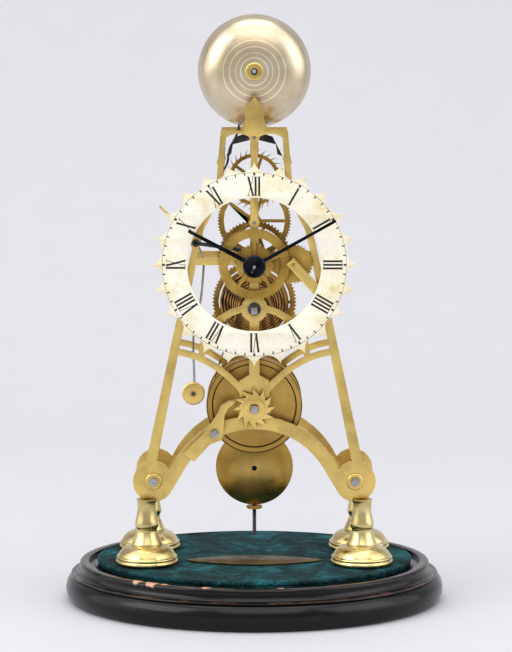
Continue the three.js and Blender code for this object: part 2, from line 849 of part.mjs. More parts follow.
// Turned spacers between the rounded ends, each held by a slotted screw from either side
function buildSpacers() {
  const front = frontPlateBack + seatGap;
  const back = backPlateY - seatGap;
  const bore = screwRadius + boreFit;
  [["left", -1], ["right", 1]].forEach(([side, sign]) => {
    const group = groupAt(sign * footDiscX, footDiscZ);
    const profile = [
      [0, front], [spacerRadius, front], [spacerRadius, front + spacerCollar],
      [spacerWaist, front + 2 * spacerCollar], [spacerWaist, back - 2 * spacerCollar],
      [spacerRadius, back - spacerCollar], [spacerRadius, back], [0, back],
    ];
    const drilled = cut(turned(profile, roundRing), [
      rod(bore, front - cutOverrun, front + screwReach + cutOverrun),
      rod(bore, back - screwReach - cutOverrun, back + cutOverrun),
    ]);
    add(group, `plate_spacer_${side}`, drilled, brass);
    const washerBack = frontPlateY - seatGap;
    const washerFront = washerBack - washerThickness;
    add(group, `spacer_washer_${side}`, tube(bore, washerRadius, washerFront, washerBack), agedBrass);
    add(group, `spacer_screw_front_${side}`, screw(washerFront - seatGap, -1, front + screwReach), steel);
    add(group, `spacer_screw_back_${side}`, screw(backPlateBack + seatGap, 1, back - screwReach), steel);
    const top = groupAt(sign * topPillarX, topPillarZ);
    add(top, `top_pillar_${side}`, rod(topPillarRadius, front, back), brass);
  });
}

// Chapter ring with a scalloped edge, on three posts
function buildDial() {
  const group = groupAt(0, centreZ);
  const step = turn / dialTips;
  const chord = dialTip * Math.cos(step / 2);
  const half = dialTip * Math.sin(step / 2);
  const sag = chord - dialValley;
  const radius = (half ** 2 + sag ** 2) / (2 * sag);
  const span = Math.asin(half / radius);
  const scallopSteps = 4;
  const outline = Array.from({ length: dialTips }, (_, i) => {
    const a = upwards + step * (i + 1 / 2);
    const x = (dialValley + radius) * Math.cos(a);
    const y = (dialValley + radius) * Math.sin(a);
    return arc(x, y, radius, a + Math.PI + span, a + Math.PI - span, scallopSteps).slice(0, scallopSteps);
  }).flat();
  const bore = ring(0, 0, dialInner, 40);
  add(group, "dial_chapter_ring", flat(outline, dialFace, dialThickness, [bore]), silvered);
  Object.entries(dialPosts).forEach(([name, [x, z]]) => {
    const post = rod(dialPostRadius, dialFace + dialThickness + seatGap, frontPlateY - seatGap);
    add(group, `dial_post_${name}`, moved(post, x, 0, z), brass);
  });
}

// A tapered hand at an angle clockwise from twelve
function hand(angle, reach, rootWidth, tipWidth, front, hubRadius, bore) {
  const a = angle * degree;
  const at = (along, across) =>
    point(along * Math.sin(a) + across * Math.cos(a), along * Math.cos(a) - across * Math.sin(a));
  const start = (hubRadius + bore) / 2;
  const blade = [
    at(start, -rootWidth / 2),
    at(reach * handTipShare, -tipWidth / 2),
    at(reach, 0),
    at(reach * handTipShare, tipWidth / 2),
    at(start, rootWidth / 2),
  ];
  const hub = flat(ring(0, 0, hubRadius, fineRing), front, handThickness);
  const whole = hub.add(flat(blade, front, handThickness));
  return whole.subtract(rod(bore, front - cutOverrun, front + handThickness + cutOverrun, roundRing));
}

// Hands and the motion work behind the dial
function buildMotionWork() {
  const group = groupAt(0, centreZ);
  const cannonBore = centreNoseRadius + boreFit;
  const hourBore = cannonPipeRadius + boreFit;
  const cannonNose = minuteHandY - pipeStand;
  const hourNose = hourHandY - pipeStand;
  const cannonBack = cannonFront + motionThickness;
  const hourBack = hourFront + motionThickness;
  const cannon = flat(teeth(cannonTeeth, cannonPitch, 0), cannonFront, motionThickness);
  const cannonWhole = cannon.add(rod(cannonPipeRadius, cannonNose, cannonBack, roundRing));
  const cannonDrill = rod(cannonBore, cannonNose - cutOverrun, cannonBack + cutOverrun);
  add(group, "cannon_wheel", cannonWhole.subtract(cannonDrill), brass);
  const hourHub = hourPipeRadius + wheelArmHalf;
  const hour = flat(teeth(hourTeeth, hourPitch, 0), hourFront, motionThickness, [
    ...crossings(hourHub, hourPitch - hourRimBand, upwards),
  ]);
  const hourWhole = hour.add(rod(hourPipeRadius, hourNose, hourBack, roundRing));
  const hourDrill = rod(hourBore, hourNose - cutOverrun, hourBack + cutOverrun, roundRing);
  add(group, "hour_wheel", hourWhole.subtract(hourDrill), brass);
  const hourHand = hand(
    hourAngle, hourReach, hourRootWidth, hourTipWidth, hourHandY, hourHubRadius, hourPipeRadius + boreFit,
  );
  add(group, "hour_hand", hourHand, blued);
  const minuteHand = hand(
    minuteAngle, minuteReach, minuteRootWidth, minuteTipWidth, minuteHandY, minuteHubRadius,
    cannonPipeRadius + boreFit,
  );
  add(group, "minute_hand", minuteHand, blued);
  const collarBack = cannonNose - seatGap;
  add(group, "hand_collar", tube(cannonBore, collarRadius, collarBack - collarThickness, collarBack), blued);

  const minute = groupAt(minuteX, minuteZ);
  const pinionFront = hourFront - seatGap;
  const minuteBack = cannonFront + motionThickness;
  const pin = rod(liftPinRadius, cannonFront, minuteBack + liftPinReach, wireSides);
  const pinAngle = liftPinAngle * degree;
  const minuteWheel = join([
    flat(teeth(cannonTeeth, cannonPitch, minutePhase), cannonFront, motionThickness),
    flat(teeth(minuteLeaves, minutePinionPitch, minutePinionPhase), pinionFront, cannonFront - pinionFront),
    moved(pin, liftPinRing * Math.cos(pinAngle), 0, liftPinRing * Math.sin(pinAngle)),
    rod(pivotRadius, cockFront, minuteBack + liftPinReach),
  ]);
  add(minute, "minute_wheel", minuteWheel, brass);
  const footX0 = cockFootX - minuteX;
  const footZ0 = cockFootZ - minuteZ;
  const length = Math.hypot(footX0, footZ0);
  const sideX = (-footZ0 / length) * cockHalf;
  const sideZ = (footX0 / length) * cockHalf;
  const barOutline = [
    point(sideX - sideZ, sideZ + sideX),
    point(-sideX - sideZ, sideX - sideZ),
    point(footX0 - sideX, footZ0 - sideZ),
    point(footX0 + sideX, footZ0 + sideZ),
  ];
  const cockBack = cockFront + cockThickness;
  const blank = join([
    flat(barOutline, cockFront, cockThickness),
    moved(rod(cockHalf, cockFront, cockBack, roundRing), footX0, 0, footZ0),
    moved(rod(cockFootRadius, cockFront, frontPlateY - seatGap, roundRing), footX0, 0, footZ0),
  ]);
  const cock = cut(blank, [
    rod(pivotRadius + boreFit, cockFront - cutOverrun, cockBack + cutOverrun),
    moved(rod(screwRadius + boreFit, cockBack - boreFit, frontPlateY + cutOverrun), footX0, 0, footZ0),
  ]);
  add(minute, "minute_cock", cock, brass);
  const cockScrew = screw(frontPlateBack + seatGap, 1, cockBack);
  add(minute, "minute_cock_screw", moved(cockScrew, footX0, 0, footZ0), steel);
}

// A steel arbor between the plates, its pinion cut in one with it
function arbor({ count, pitch, phase, leavesFront, leavesLength, front, frontRadius, back, backRadius }) {
  const shaft = turned(
    [
      [0, front], [frontRadius, front], [frontRadius, frontPlateBack + endShake],
      [arborRadius, frontPlateBack + endShake], [arborRadius, backPlateY - endShake],
      [backRadius, backPlateY - endShake], [backRadius, back], [0, back],
    ],
    smallRing,
  );
  return count ? shaft.add(flat(teeth(count, pitch, phase), leavesFront, leavesLength)) : shaft;
}

// Great, centre, third and escape wheels with their arbors
function buildTrain() {
  const pivots = {
    front: frontPlateY + endShake,
    frontRadius: pivotRadius,
    back: backPlateBack - endShake,
    backRadius: pivotRadius,
  };
  const leavesLength = wheelThickness + 2 * pinionOverrun;
  const bore = arborRadius + boreFit;
  const centre = groupAt(0, centreZ);
  const centreArbor = arbor({
    ...pivots,
    front: centreNoseY,
    frontRadius: centreNoseRadius,
    count: centreLeaves,
    pitch: centrePinionPitch,
    phase: centrePinionPhase,
    leavesFront: greatFront - pinionOverrun,
    leavesLength,
  });
  add(centre, "centre_arbor", centreArbor, steel);
  add(centre, "centre_wheel", wheel(centreTeeth, centrePitch, 0, centreFront, bore), brass);
  const third = groupAt(0, thirdZ);
  const thirdArbor = arbor({
    ...pivots,
    count: thirdLeaves,
    pitch: thirdPinionPitch,
    phase: thirdPinionPhase,
    leavesFront: centreFront - pinionOverrun,
    leavesLength,
  });
  add(third, "third_arbor", thirdArbor, steel);
  add(third, "third_wheel", wheel(thirdTeeth, thirdPitch, 0, thirdFront, bore), brass);
  const escape = groupAt(0, escapeZ);
  const escapeArbor = arbor({
    ...pivots,
    count: escapeLeaves,
    pitch: escapePinionPitch,
    phase: escapePinionPhase,
    leavesFront: thirdFront - pinionOverrun,
    leavesLength,
  });
  add(escape, "escape_arbor", escapeArbor, steel);
  const step = turn / escapeTeeth;
  const escapeOutline = Array.from({ length: escapeTeeth }, (_, i) => {
    const a = upwards + step * (i + 1 / 2);
    return [
      polar(escapeRootRadius, a),
      polar(escapeTip, a - escapeLean * degree),
      polar(escapeRootRadius, a + step * escapeToothRootShare),
    ];
  }).flat();
  const escapeWheel = flat(escapeOutline, escapeFront, escapeThickness, [
    ...crossings(wheelHub, escapeRimInner),
    ring(0, 0, bore, smallRing),
  ]);
  add(escape, "escape_wheel", escapeWheel, brass);
}

// Radius of the fusee at a share of its length from the small end
const fuseeRadius = (share) =>
  fuseeSmall + (fuseeLarge - fuseeSmall) * share * (1 - fuseeFlareShare + fuseeFlareShare * share);

// Fusee with its winding square, and the great wheel behind it
function buildFusee() {
  const group = groupAt(0, fuseeZ);
  const length = fuseeBackY - fuseeFrontY;
  const cone = Array.from({ length: fuseeRings + 1 }, (_, i) => {
    const share = i / fuseeRings;
    return [fuseeRadius(share), fuseeFrontY + share * length];
  });
  const r = fuseeArborRadius;
  const body = turned(
    [[0, frontPlateY - seatGap], [r, frontPlateY - seatGap], [r, fuseeFrontY], ...cone, [r, fuseeBackY],
      [r, backPlateBack - endShake], [0, backPlateBack - endShake]],
    fineRing,
  );
  const half = fuseeSquare / 2;
  const square = box(-half, half, fuseeSquareFront, frontPlateY, -half, half);
  add(group, "fusee", body.add(square), brass);
  add(group, "great_wheel", wheel(greatTeeth, greatPitch, 0, greatFront, r + boreFit), brass);
}

// The least gap between stretches of the line that lie half a turn or more apart
function leastGap(route) {
  const apart = lineSteps / 2;
  const nearest = route.flatMap((at, i) => route.slice(i + apart).map((other) => at.distanceTo(other)));
  return Math.min(...nearest) - 2 * lineRadius;
}

// The gut line, wound round the fusee, led down and wound on to the barrel
function buildLine() {
  const stand = lineGap + lineRadius;
  const atFusee = fuseeSmall + stand;
  const atBarrel = barrelDrum + stand;
  const tilt = Math.asin((atBarrel - atFusee) / (fuseeZ - barrelZ));
  const leave = Math.PI - tilt;
  const length = fuseeBackY - fuseeFrontY - 2 * lineMargin;
  const onFusee = Array.from({ length: fuseeTurns * lineSteps + 1 }, (_, i) => {
    const share = i / (fuseeTurns * lineSteps);
    const a = leave - fuseeTurns * turn * share;
    const y = fuseeFrontY + lineMargin + length * share;
    const radius = fuseeRadius((y - fuseeFrontY) / (fuseeBackY - fuseeFrontY)) + stand;
    return place(radius * Math.cos(a), y, fuseeZ + radius * Math.sin(a));
  }).reverse();
  const barrelSteps = Math.round(barrelTurns * lineSteps);
  const onBarrel = Array.from({ length: barrelSteps + 1 }, (_, i) => {
    const a = leave + (turn * i) / lineSteps;
    const y = fuseeFrontY + lineMargin + (barrelLinePitch * i) / lineSteps;
    return place(atBarrel * Math.cos(a), y, barrelZ + atBarrel * Math.sin(a));
  });
  const route = [...onFusee, ...onBarrel];
  console.log(`fusee_line: least gap to itself ${leastGap(route).toFixed(2)} mm`);
  add(root, "fusee_line", wire(route, lineRadius, lineSides), gut);
}

// Mainspring barrel on its arbor, with the set-up ratchet and click in front of the plate
function buildBarrel() {
  const group = groupAt(0, barrelZ);
  const back = barrelFrontY + barrelLength;
  const bore = barrelArborRadius + boreFit;
  const drum = turned(
    [
      [bore, back], [barrelRadius, back], [barrelRadius, back - barrelFlange],
      [barrelDrum, back - barrelFlange],
      [barrelDrum, barrelFrontY + barrelFlange], [barrelRadius, barrelFrontY + barrelFlange],
      [barrelRadius, barrelFrontY], [barrelInside, barrelFrontY], [barrelInside, back - barrelWall],
      [bore, back - barrelWall], [bore, back],
    ],
    24,
  );
  add(group, "barrel_drum", drum, brass);
  const capFront = barrelFrontY + capRecess;
  const capBack = capFront + barrelWall;
  const capEdge = barrelInside - boreFit;
  add(group, "barrel_cap", tube(bore, capEdge, capFront, capBack, 24), brass);
  const spring = tube(springInner, springOuter, capBack + seatGap, back - barrelWall - seatGap, fineRing);
  add(group, "mainspring", spring, blued);
  const half = barrelSquare / 2;
  const shaft = rod(barrelArborRadius, frontPlateY - seatGap, backPlateBack - endShake, roundRing);
  const square = box(-half, half, barrelSquareFront, frontPlateY, -half, half);
  add(group, "barrel_arbor", shaft.add(square), steel);

  const step = turn / ratchetTeeth;
  const belly = ratchetRoot + (ratchetTip - ratchetRoot) * (1 - ratchetBellyShare);
  const outline = Array.from({ length: ratchetTeeth }, (_, i) => {
    const a = ratchetPhase * degree + step * i;
    return [polar(belly, a - step / 2), polar(ratchetTip, a), polar(ratchetRoot, a)];
  }).flat();
  const collarFront = ratchetFront - ratchetCollarHeight;
  const hole = half + boreFit;
  const collar = rod(ratchetCollar, collarFront, ratchetFront, fineRing);
  const ratchet = cut(
    flat(outline, ratchetFront, ratchetThickness).add(collar),
    [box(-hole, hole, collarFront - cutOverrun, frontPlateY, -hole, hole)],
  );
  add(group, "setup_ratchet", ratchet, brass);
  const clickBore = ring(clickX, clickZ, screwRadius + boreFit, smallRing);
  const clickShape = clickShares.map(([x, z]) => point(clickX + x * clickReach, clickZ + z * clickReach));
  add(root, "click", flat(clickShape, clickFront, clickThickness, [clickBore]), brass);
  const clickScrew = screw(clickFront - seatGap, -1, frontPlateBack);
  add(root, "click_screw", moved(clickScrew, clickX, 0, clickZ), steel);
}

// Anchor on its arbor, and the crutch that embraces the pendulum rod
function buildPallets() {
  const group = groupAt(0, palletZ);
  const side = [
    [anchorShoulderX, -anchorShoulderDrop], [nibOuterX, -nibOuterDrop], [nibX, -nibDrop],
    [anchorArmX, -anchorArmDrop], [anchorBellyX, -anchorBellyDrop],
  ];
  const outline = [
    point(0, anchorCrownRise),
    ...side.map(([x, z]) => point(x, z)),
    ...side.map(([x, z]) => point(-x, z)).reverse(),
  ];
  const middle = escapeFront + escapeThickness / 2;
  const front = middle - anchorThickness / 2;
  const bore = rod(arborRadius + boreFit, front - cutOverrun, front + anchorThickness + cutOverrun);
  const anchorBlank = join([
    flat(outline, front, anchorThickness),
    rod(anchorHub, front, front + anchorThickness, roundRing),
  ]);
  add(group, "pallet_anchor", anchorBlank.subtract(bore), steel);
  const shaft = arbor({
    front: frontPlateY + endShake,
    frontRadius: pivotRadius,
    back: crutchY + crutchThickness + endShake,
    backRadius: arborRadius - boreFit,
  });
  add(group, "pallet_arbor", shaft, steel);
  const forkHalf = rodRadius + boreFit + forkWall;
  const forkBack = pendulumY + rodRadius + forkWall;
  const crutch = cut(
    join([
      box(-crutchHalf, crutchHalf, crutchY, crutchY + crutchThickness, -crutchDrop, 0),
      rod(anchorHub, crutchY, crutchY + crutchThickness, roundRing),
      box(-forkHalf, forkHalf, crutchY, forkBack, -crutchDrop, -crutchDrop + forkHeight),
    ]),
    [
      rod(arborRadius, crutchY - cutOverrun, crutchY + crutchThickness + cutOverrun),
      box(
        -rodRadius - boreFit, rodRadius + boreFit, pendulumY - forkRun / 2, forkBack + cutOverrun,
        -crutchDrop - cutOverrun, -crutchDrop + forkHeight + cutOverrun,
      ),
    ],
  );
  add(group, "crutch", crutch, steel);
}

// Bell on a post from the tongue of the back plate
function buildBell() {
  const group = groupAt(0, bellZ);
  const bore = bellPostRadius + boreFit;
  const outer = bellShares.map(([r, y]) => [r * bellRadius, bellFront + y * bellDepth]);
  const inner = outer.map(([r, y]) => [r - bellWall, y + bellWall]).slice(0, -1).reverse();
  const mouth = bellFront + bellDepth;
  const profile = [
    [bore, bellFront], ...outer, [bellRadius - bellWall, mouth], ...inner,
    [bore, bellFront + bellWall], [bore, bellFront],
  ];
  add(group, "bell", turned(profile, 28), bellMetal);
  const washerBack = bellFront - seatGap;
  const washerFront = washerBack - bellWasherThickness;
  add(group, "bell_washer", tube(bore, bellWasherRadius, washerFront, washerBack), brass);
  const shoulder = bellFront + bellWall + seatGap;
  const post = turned(
    [
      [0, washerFront - bellStudStand], [bellPostRadius, washerFront - bellStudStand],
      [bellPostRadius, shoulder], [bellShoulderRadius, shoulder], [bellShoulderRadius, backPlateY - seatGap],
      [bellPostRadius, backPlateY - seatGap], [bellPostRadius, backPlateBack], [0, backPlateBack],
    ],
    smallRing,
  );
  add(group, "bell_post", post, steel);
}

// Hammer: an arbor in the left legs with a lifted tail, a wire to the head and one to the counterweight
function buildHammer() {
  const route = (shares, bow, rise, y) =>
    shares.map(([across, along]) => place(hammerX + across * bow, y, hammerZ + along * rise));
  const lower = route(hammerLowerShares, hammerLowerBow, -hammerDrop, hammerFrontY);
  const upper = route(hammerUpperShares, hammerUpperBow, hammerRise, hammerBackY);
  const repeat = route(repeatArmShares, -repeatArmRun, repeatArmRise, repeatArmY);
  const atWeight = place(hammerWeightX, hammerFrontY, hammerWeightZ);
  const atHead = place(hammerHeadX, hammerHeadY, hammerHeadZ);
  const body = turned(
    [
      [0, tailFront], [pivotRadius, tailFront], [pivotRadius, frontPlateBack + endShake],
      [arborRadius, frontPlateBack + endShake], [arborRadius, backPlateY - endShake],
      [pivotRadius, backPlateY - endShake], [pivotRadius, backPlateBack - endShake],
      [0, backPlateBack - endShake],
    ],
    smallRing,
  );
  const along = place(tailEndX - hammerX, 0, tailEndZ - hammerZ).normalize();
  const tail = [
    point(hammerX - along.z * tailHalf, hammerZ + along.x * tailHalf),
    point(hammerX + along.z * tailHalf, hammerZ - along.x * tailHalf),
    point(tailEndX + along.z * tailHalf, tailEndZ - along.x * tailHalf),
    point(tailEndX - along.z * tailHalf, tailEndZ + along.x * tailHalf),
  ];
  const head = new THREE.CylinderGeometry(hammerHeadRadius, hammerHeadRadius, hammerHeadLength, smallRing);
  const whole = join([
    moved(body, hammerX, 0, hammerZ),
    flat(tail, tailFront, tailThickness),
    moved(rod(2 * tailHalf, tailFront, tailFront + tailThickness), hammerX, 0, hammerZ),
    wire([...lower, atWeight], hammerWireRadius, wireSides),
    wire([...upper, atHead], hammerWireRadius, wireSides),
    wire(repeat, hammerWireRadius, wireSides),
    moved(solidOf(head.rotateZ(upwards)), hammerHeadX, hammerHeadY, hammerHeadZ),
  ]);
  const front = hammerFrontY - hammerWeightThickness / 2;
  const back = front + hammerWeightThickness;
  const heart = moved(rod(hammerWeightBore, front, back), hammerWeightX, 0, hammerWeightZ);
  add(root, "hammer", whole.add(heart), steel);
  const blank = moved(rod(hammerWeightRadius, front, back, fineRing), hammerWeightX, 0, hammerWeightZ);
  const slot = hammerWireRadius + 2 * boreFit;
  const bored = cut(blank, [
    moved(
      rod(hammerWeightBore + boreFit, front - cutOverrun, back + cutOverrun),
      hammerWeightX, 0, hammerWeightZ,
    ),
    box(hammerWeightX - slot, hammerWeightX + slot, hammerFrontY - slot, hammerFrontY + slot,
      hammerWeightZ, hammerWeightZ + hammerWeightRadius + cutOverrun),
  ]);
  add(root, "hammer_counterweight", bored, brass);
}

// Pendulum hung behind the back plate
function buildPendulum() {
  const group = new THREE.Group();
  group.position.set(0, pendulumY, 0);
  root.add(group);
  const front = backPlateBack + seatGap - pendulumY;
  const slit = springHalf + swingRoom;
  const halfWidth = springWidth / 2;
  const blank = box(-pendulumCockHalf, pendulumCockHalf, front, pendulumCockTail, cockBottom,
    cockBottom + cockHeight);
  const slot = box(-slit, slit, -halfWidth - seatGap, pendulumCockTail + cutOverrun, cockBottom - cutOverrun,
    springTop + seatGap);
  add(group, "pendulum_cock", blank.subtract(slot), brass);
  const rodWhole = join([
    turnedUpright([[0, rodBottom], [rodRadius, rodBottom], [rodRadius, blockTop], [0, blockTop]], smallRing),
    box(-blockHalf, blockHalf, -blockHalf, blockHalf, blockTop - blockHeight, blockTop),
    box(-springHalf, springHalf, -halfWidth, halfWidth, blockTop - blockHeight, springTop),
  ]);
  add(group, "pendulum_rod", rodWhole, steel);
  const half = bobShares.map(([r, y]) => [r * bobRadius, y * bobHalfThickness]);
  const lens = turned(
    [[0, -bobHalfThickness], ...half.map(([r, y]) => [r, -y]), ...half.reverse(), [0, bobHalfThickness]],
    24,
  );
  const bore = rodRadius + boreFit;
  const through = bobRadius + cutOverrun;
  const drill = turnedUpright([[0, -through], [bore, -through], [bore, through], [0, through]], smallRing);
  const bob = add(group, "pendulum_bob", lens.subtract(drill), brass);
  bob.position.z = bobZ;
  const nutTop = bobZ - bobRadius - seatGap;
  const nutProfile = [
    [bore, nutTop - nutHeight], [nutRadius, nutTop - nutHeight], [nutRadius, nutTop], [bore, nutTop],
    [bore, nutTop - nutHeight],
  ];
  add(group, "rating_nut", turnedUpright(nutProfile, roundRing), brass);
}

buildBase();
buildFeet();
buildPlates();
buildSpacers();
buildDial();
buildMotionWork();
buildTrain();
buildFusee();
buildLine();
buildBarrel();
buildPallets();
buildBell();
buildHammer();
buildPendulum();

export default root;
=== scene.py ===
"""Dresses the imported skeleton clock: brass movement, chapter ring, bell and pendulum on an oval base."""

import json
import math

import bmesh
import bpy
from bpy.props import FloatProperty, FloatVectorProperty, IntProperty, PointerProperty
from mathutils import Matrix, Vector


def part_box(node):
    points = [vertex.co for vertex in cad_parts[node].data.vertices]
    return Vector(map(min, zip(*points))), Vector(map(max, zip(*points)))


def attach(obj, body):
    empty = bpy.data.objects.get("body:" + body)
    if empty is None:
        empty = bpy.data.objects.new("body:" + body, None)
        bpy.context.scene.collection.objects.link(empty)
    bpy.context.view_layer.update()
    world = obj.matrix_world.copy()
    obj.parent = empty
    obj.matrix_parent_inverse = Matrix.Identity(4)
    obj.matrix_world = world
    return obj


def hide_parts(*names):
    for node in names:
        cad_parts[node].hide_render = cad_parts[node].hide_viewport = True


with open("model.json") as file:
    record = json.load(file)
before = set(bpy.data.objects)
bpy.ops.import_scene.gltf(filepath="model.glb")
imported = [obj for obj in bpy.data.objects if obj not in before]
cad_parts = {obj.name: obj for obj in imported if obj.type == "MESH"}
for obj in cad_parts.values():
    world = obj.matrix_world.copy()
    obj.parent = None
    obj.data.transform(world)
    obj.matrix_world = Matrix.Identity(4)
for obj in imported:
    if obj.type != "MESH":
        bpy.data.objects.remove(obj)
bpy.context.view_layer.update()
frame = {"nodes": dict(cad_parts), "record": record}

bl_info = {
    "name": "Skeleton Clock",
    "version": (1, 0, 0),
    "blender": (4, 5, 0),
    "location": "View3D > Sidebar > Skeleton Clock",
    "description": "Builds the finished pieces of a skeleton clock round its packed frame",
    "category": "Object",
}

MM = 0.001
TURN = 2 * math.pi
BODY_OF = {
    node: body
    for body, nodes in frame["record"]["behaviour"]["bodies"].items()
    for node in nodes
}


def linear(colour):
    """An sRGB hex colour as the linear red, green, blue and alpha that a shader takes."""
    parts = [int(colour[i : i + 2], 16) / 255 for i in (1, 3, 5)]
    return tuple(c / 12.92 if c <= 0.04045 else ((c + 0.055) / 1.055) ** 2.4 for c in parts) + (1.0,)


def box_of(node):
    """The low and the high corner of a CAD node's box, in millimetres."""
    low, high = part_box(node)
    return low / MM, high / MM


def middle(node):
    """The middle of a CAD node's box, in millimetres."""
    low, high = box_of(node)
    return (low + high) / 2


def axle(joint):
    """The place of a joint of the record, in millimetres."""
    found = next(j for j in frame["record"]["behaviour"]["joints"] if j["name"] == joint)
    return Vector(found["pos_m"]) / MM


# Faces of the two plates along Y, and the play that the feet's slots give them
FRONT_OUTER, FRONT_INNER = (c.y for c in box_of("front_plate"))
BACK_INNER, BACK_OUTER = (c.y for c in box_of("back_plate"))
SLOT_GAP = 0.25

# Height of the base's top under the velvet pad
PAD_FLOOR = box_of("velvet_pad")[0].z - 0.3

# Radii of the fusee's ends and of the barrel's drum, the cone's hollow and the ends that the line leaves bare
FUSEE_SMALL, FUSEE_LARGE, FUSEE_FLARE = 9.4, 24.6, 0.55
LINE_MARGIN = 1.6
BARREL_DRUM = 32.2

# Blender's wave texture runs through 20 radians a unit at scale 1
WAVE_RADIANS = 20


# Sizes and colours that a user would change


def length(name, description, millimetres):
    return FloatProperty(
        name=name, description=description, default=millimetres * MM, min=0, unit="LENGTH", precision=5
    )


def colour(name, description, value):
    return FloatVectorProperty(
        name=name, description=description, default=linear(value)[:3], subtype="COLOR", min=0, max=1
    )


class ClockSizes(bpy.types.PropertyGroup):
    """Sizes of the dressed pieces."""

    edge: length("Edge", "Width of the bevel along filed brass edges", 0.22)
    tooth_edge: length("Tooth edge", "Width of the bevel on wheels and small steelwork", 0.1)
    numeral_foot: length("Numeral foot", "Radius where the hour numerals begin", 48.1)
    numeral_head: length("Numeral head", "Radius where the hour numerals end", 61.2)
    numeral_stroke: length("Numeral stroke", "Width of a thick stroke", 1.4)
    tick_inner: length("Tick start", "Radius where the minute marks begin", 62.1)
    tick_outer: length("Tick end", "Radius where the minute marks end", 64.1)
    tick_width: length("Tick width", "Width of a minute mark", 0.8)
    hour_width: length("Hour mark width", "Width of a mark at an hour", 1.4)
    piping: length("Piping", "Radius of the piped edge of the velvet", 1.5)
    gut: length("Gut", "Radius of the fusee line", 0.62)
    ticks: IntProperty(name="Minute marks", description="Marks round the chapter ring", default=60, min=12)
    knurls: IntProperty(name="Knurls", description="Ridges round the rating nut", default=40, min=12)


class ClockColours(bpy.types.PropertyGroup):
    """Main colours of the finishes."""

    brass: colour("Brass", "Lacquered brass of plates and wheels", "#d8bb6e")
    velvet: colour("Velvet", "Pile of the base's velvet", "#0a2b2f")
    dial: colour("Dial", "Silvering of the chapter ring", "#f5efda")
    wood: colour("Wood", "Ebonised base", "#050404")
    floor: colour("Floor", "Studio paper", "#c9c9cd")


# Node and mesh helpers


def fill(tree, node, inputs):
    """Gives each named input of a node a value, or a link from another node."""
    for key, value in inputs.items():
        if isinstance(value, bpy.types.NodeSocket):
            tree.links.new(value, node.inputs[key])
        else:
            node.inputs[key].default_value = value


def add_node(tree, kind, inputs=None, **settings):
    """Adds a node, sets it up and fills its inputs."""
    node = tree.nodes.new(kind)
    for name, value in settings.items():
        setattr(node, name, value)
    fill(tree, node, inputs or {})
    return node


def ramp(tree, factor, stops):
    """Colours along a factor, given as pairs of place and linear colour."""
    node = add_node(tree, "ShaderNodeValToRGB", {"Fac": factor})
    elements = node.color_ramp.elements
    while len(elements) < len(stops):
        elements.new(0.5)
    for element, (place, shade) in zip(elements, stops):
        element.position = place
        element.color = tuple(shade)[:3] + (1.0,)
    return node.outputs["Color"]


def noise(tree, coords, grain, detail, **inputs):
    """Noise with a grain of so many millimetres."""
    inputs = {"Vector": coords, "Scale": 1 / (grain * MM), "Detail": detail, **inputs}
    return add_node(tree, "ShaderNodeTexNoise", inputs).outputs["Fac"]


def spread(tree, value, low, high, first, last, **settings):
    """A value whose stretch from low to high becomes the one from first to last."""
    inputs = {"Value": value, "From Min": low, "From Max": high, "To Min": first, "To Max": last}
    return add_node(tree, "ShaderNodeMapRange", inputs, **settings).outputs["Result"]


def blended(tree, factor, under, over, kind="MIX"):
    """One colour laid over another."""
    inputs = {"Factor": factor, "A": under, "B": over}
    return add_node(tree, "ShaderNodeMix", inputs, data_type="RGBA", blend_type=kind).outputs["Result"]


def number(tree, operation, *values):
    return add_node(tree, "ShaderNodeMath", dict(enumerate(values)), operation=operation).outputs[0]


def vector(tree, operation, *values):
    return add_node(tree, "ShaderNodeVectorMath", dict(enumerate(values)), operation=operation)


def add_relief(tree, shader, height, strength, depth):
    """Raises the surface by a height whose full depth is in millimetres."""
    bump = add_node(tree, "ShaderNodeBump", {"Height": height, "Strength": strength, "Distance": depth * MM})
    fill(tree, shader, {"Normal": bump.outputs["Normal"]})


def new_finish(name):
    """A material, its tree, its shader and its Object coordinates."""
    made = bpy.data.materials.new(name)
    made.use_nodes = True
    tree = made.node_tree
    coords = add_node(tree, "ShaderNodeTexCoord").outputs["Object"]
    return made, tree, tree.nodes["Principled BSDF"], coords


def stretched(tree, coords, scale):
    return add_node(tree, "ShaderNodeMapping", {"Vector": coords, "Scale": scale}).outputs["Vector"]


def centred_on(tree, coords, centre):
    """Coordinates counted from a centre given in millimetres."""
    away = tuple(-c * MM for c in centre)
    return add_node(tree, "ShaderNodeMapping", {"Vector": coords, "Location": away}).outputs["Vector"]


def distance_from_axis(tree, coords):
    """Distance from the Y axis of the coordinates."""
    flat = vector(tree, "MULTIPLY", coords, (1, 0, 1)).outputs["Vector"]
    return vector(tree, "LENGTH", flat).outputs["Value"]


def closeness(tree, coords, spot, reach):
    """One at a place in millimetres and nought from a reach away."""
    far = vector(tree, "DISTANCE", coords, tuple(c * MM for c in spot)).outputs["Value"]
    return spread(tree, far, 0, reach * MM, 1, 0)


def shaded(colour_value, share):
    return tuple(c * share for c in tuple(colour_value)[:3])


# Finishes


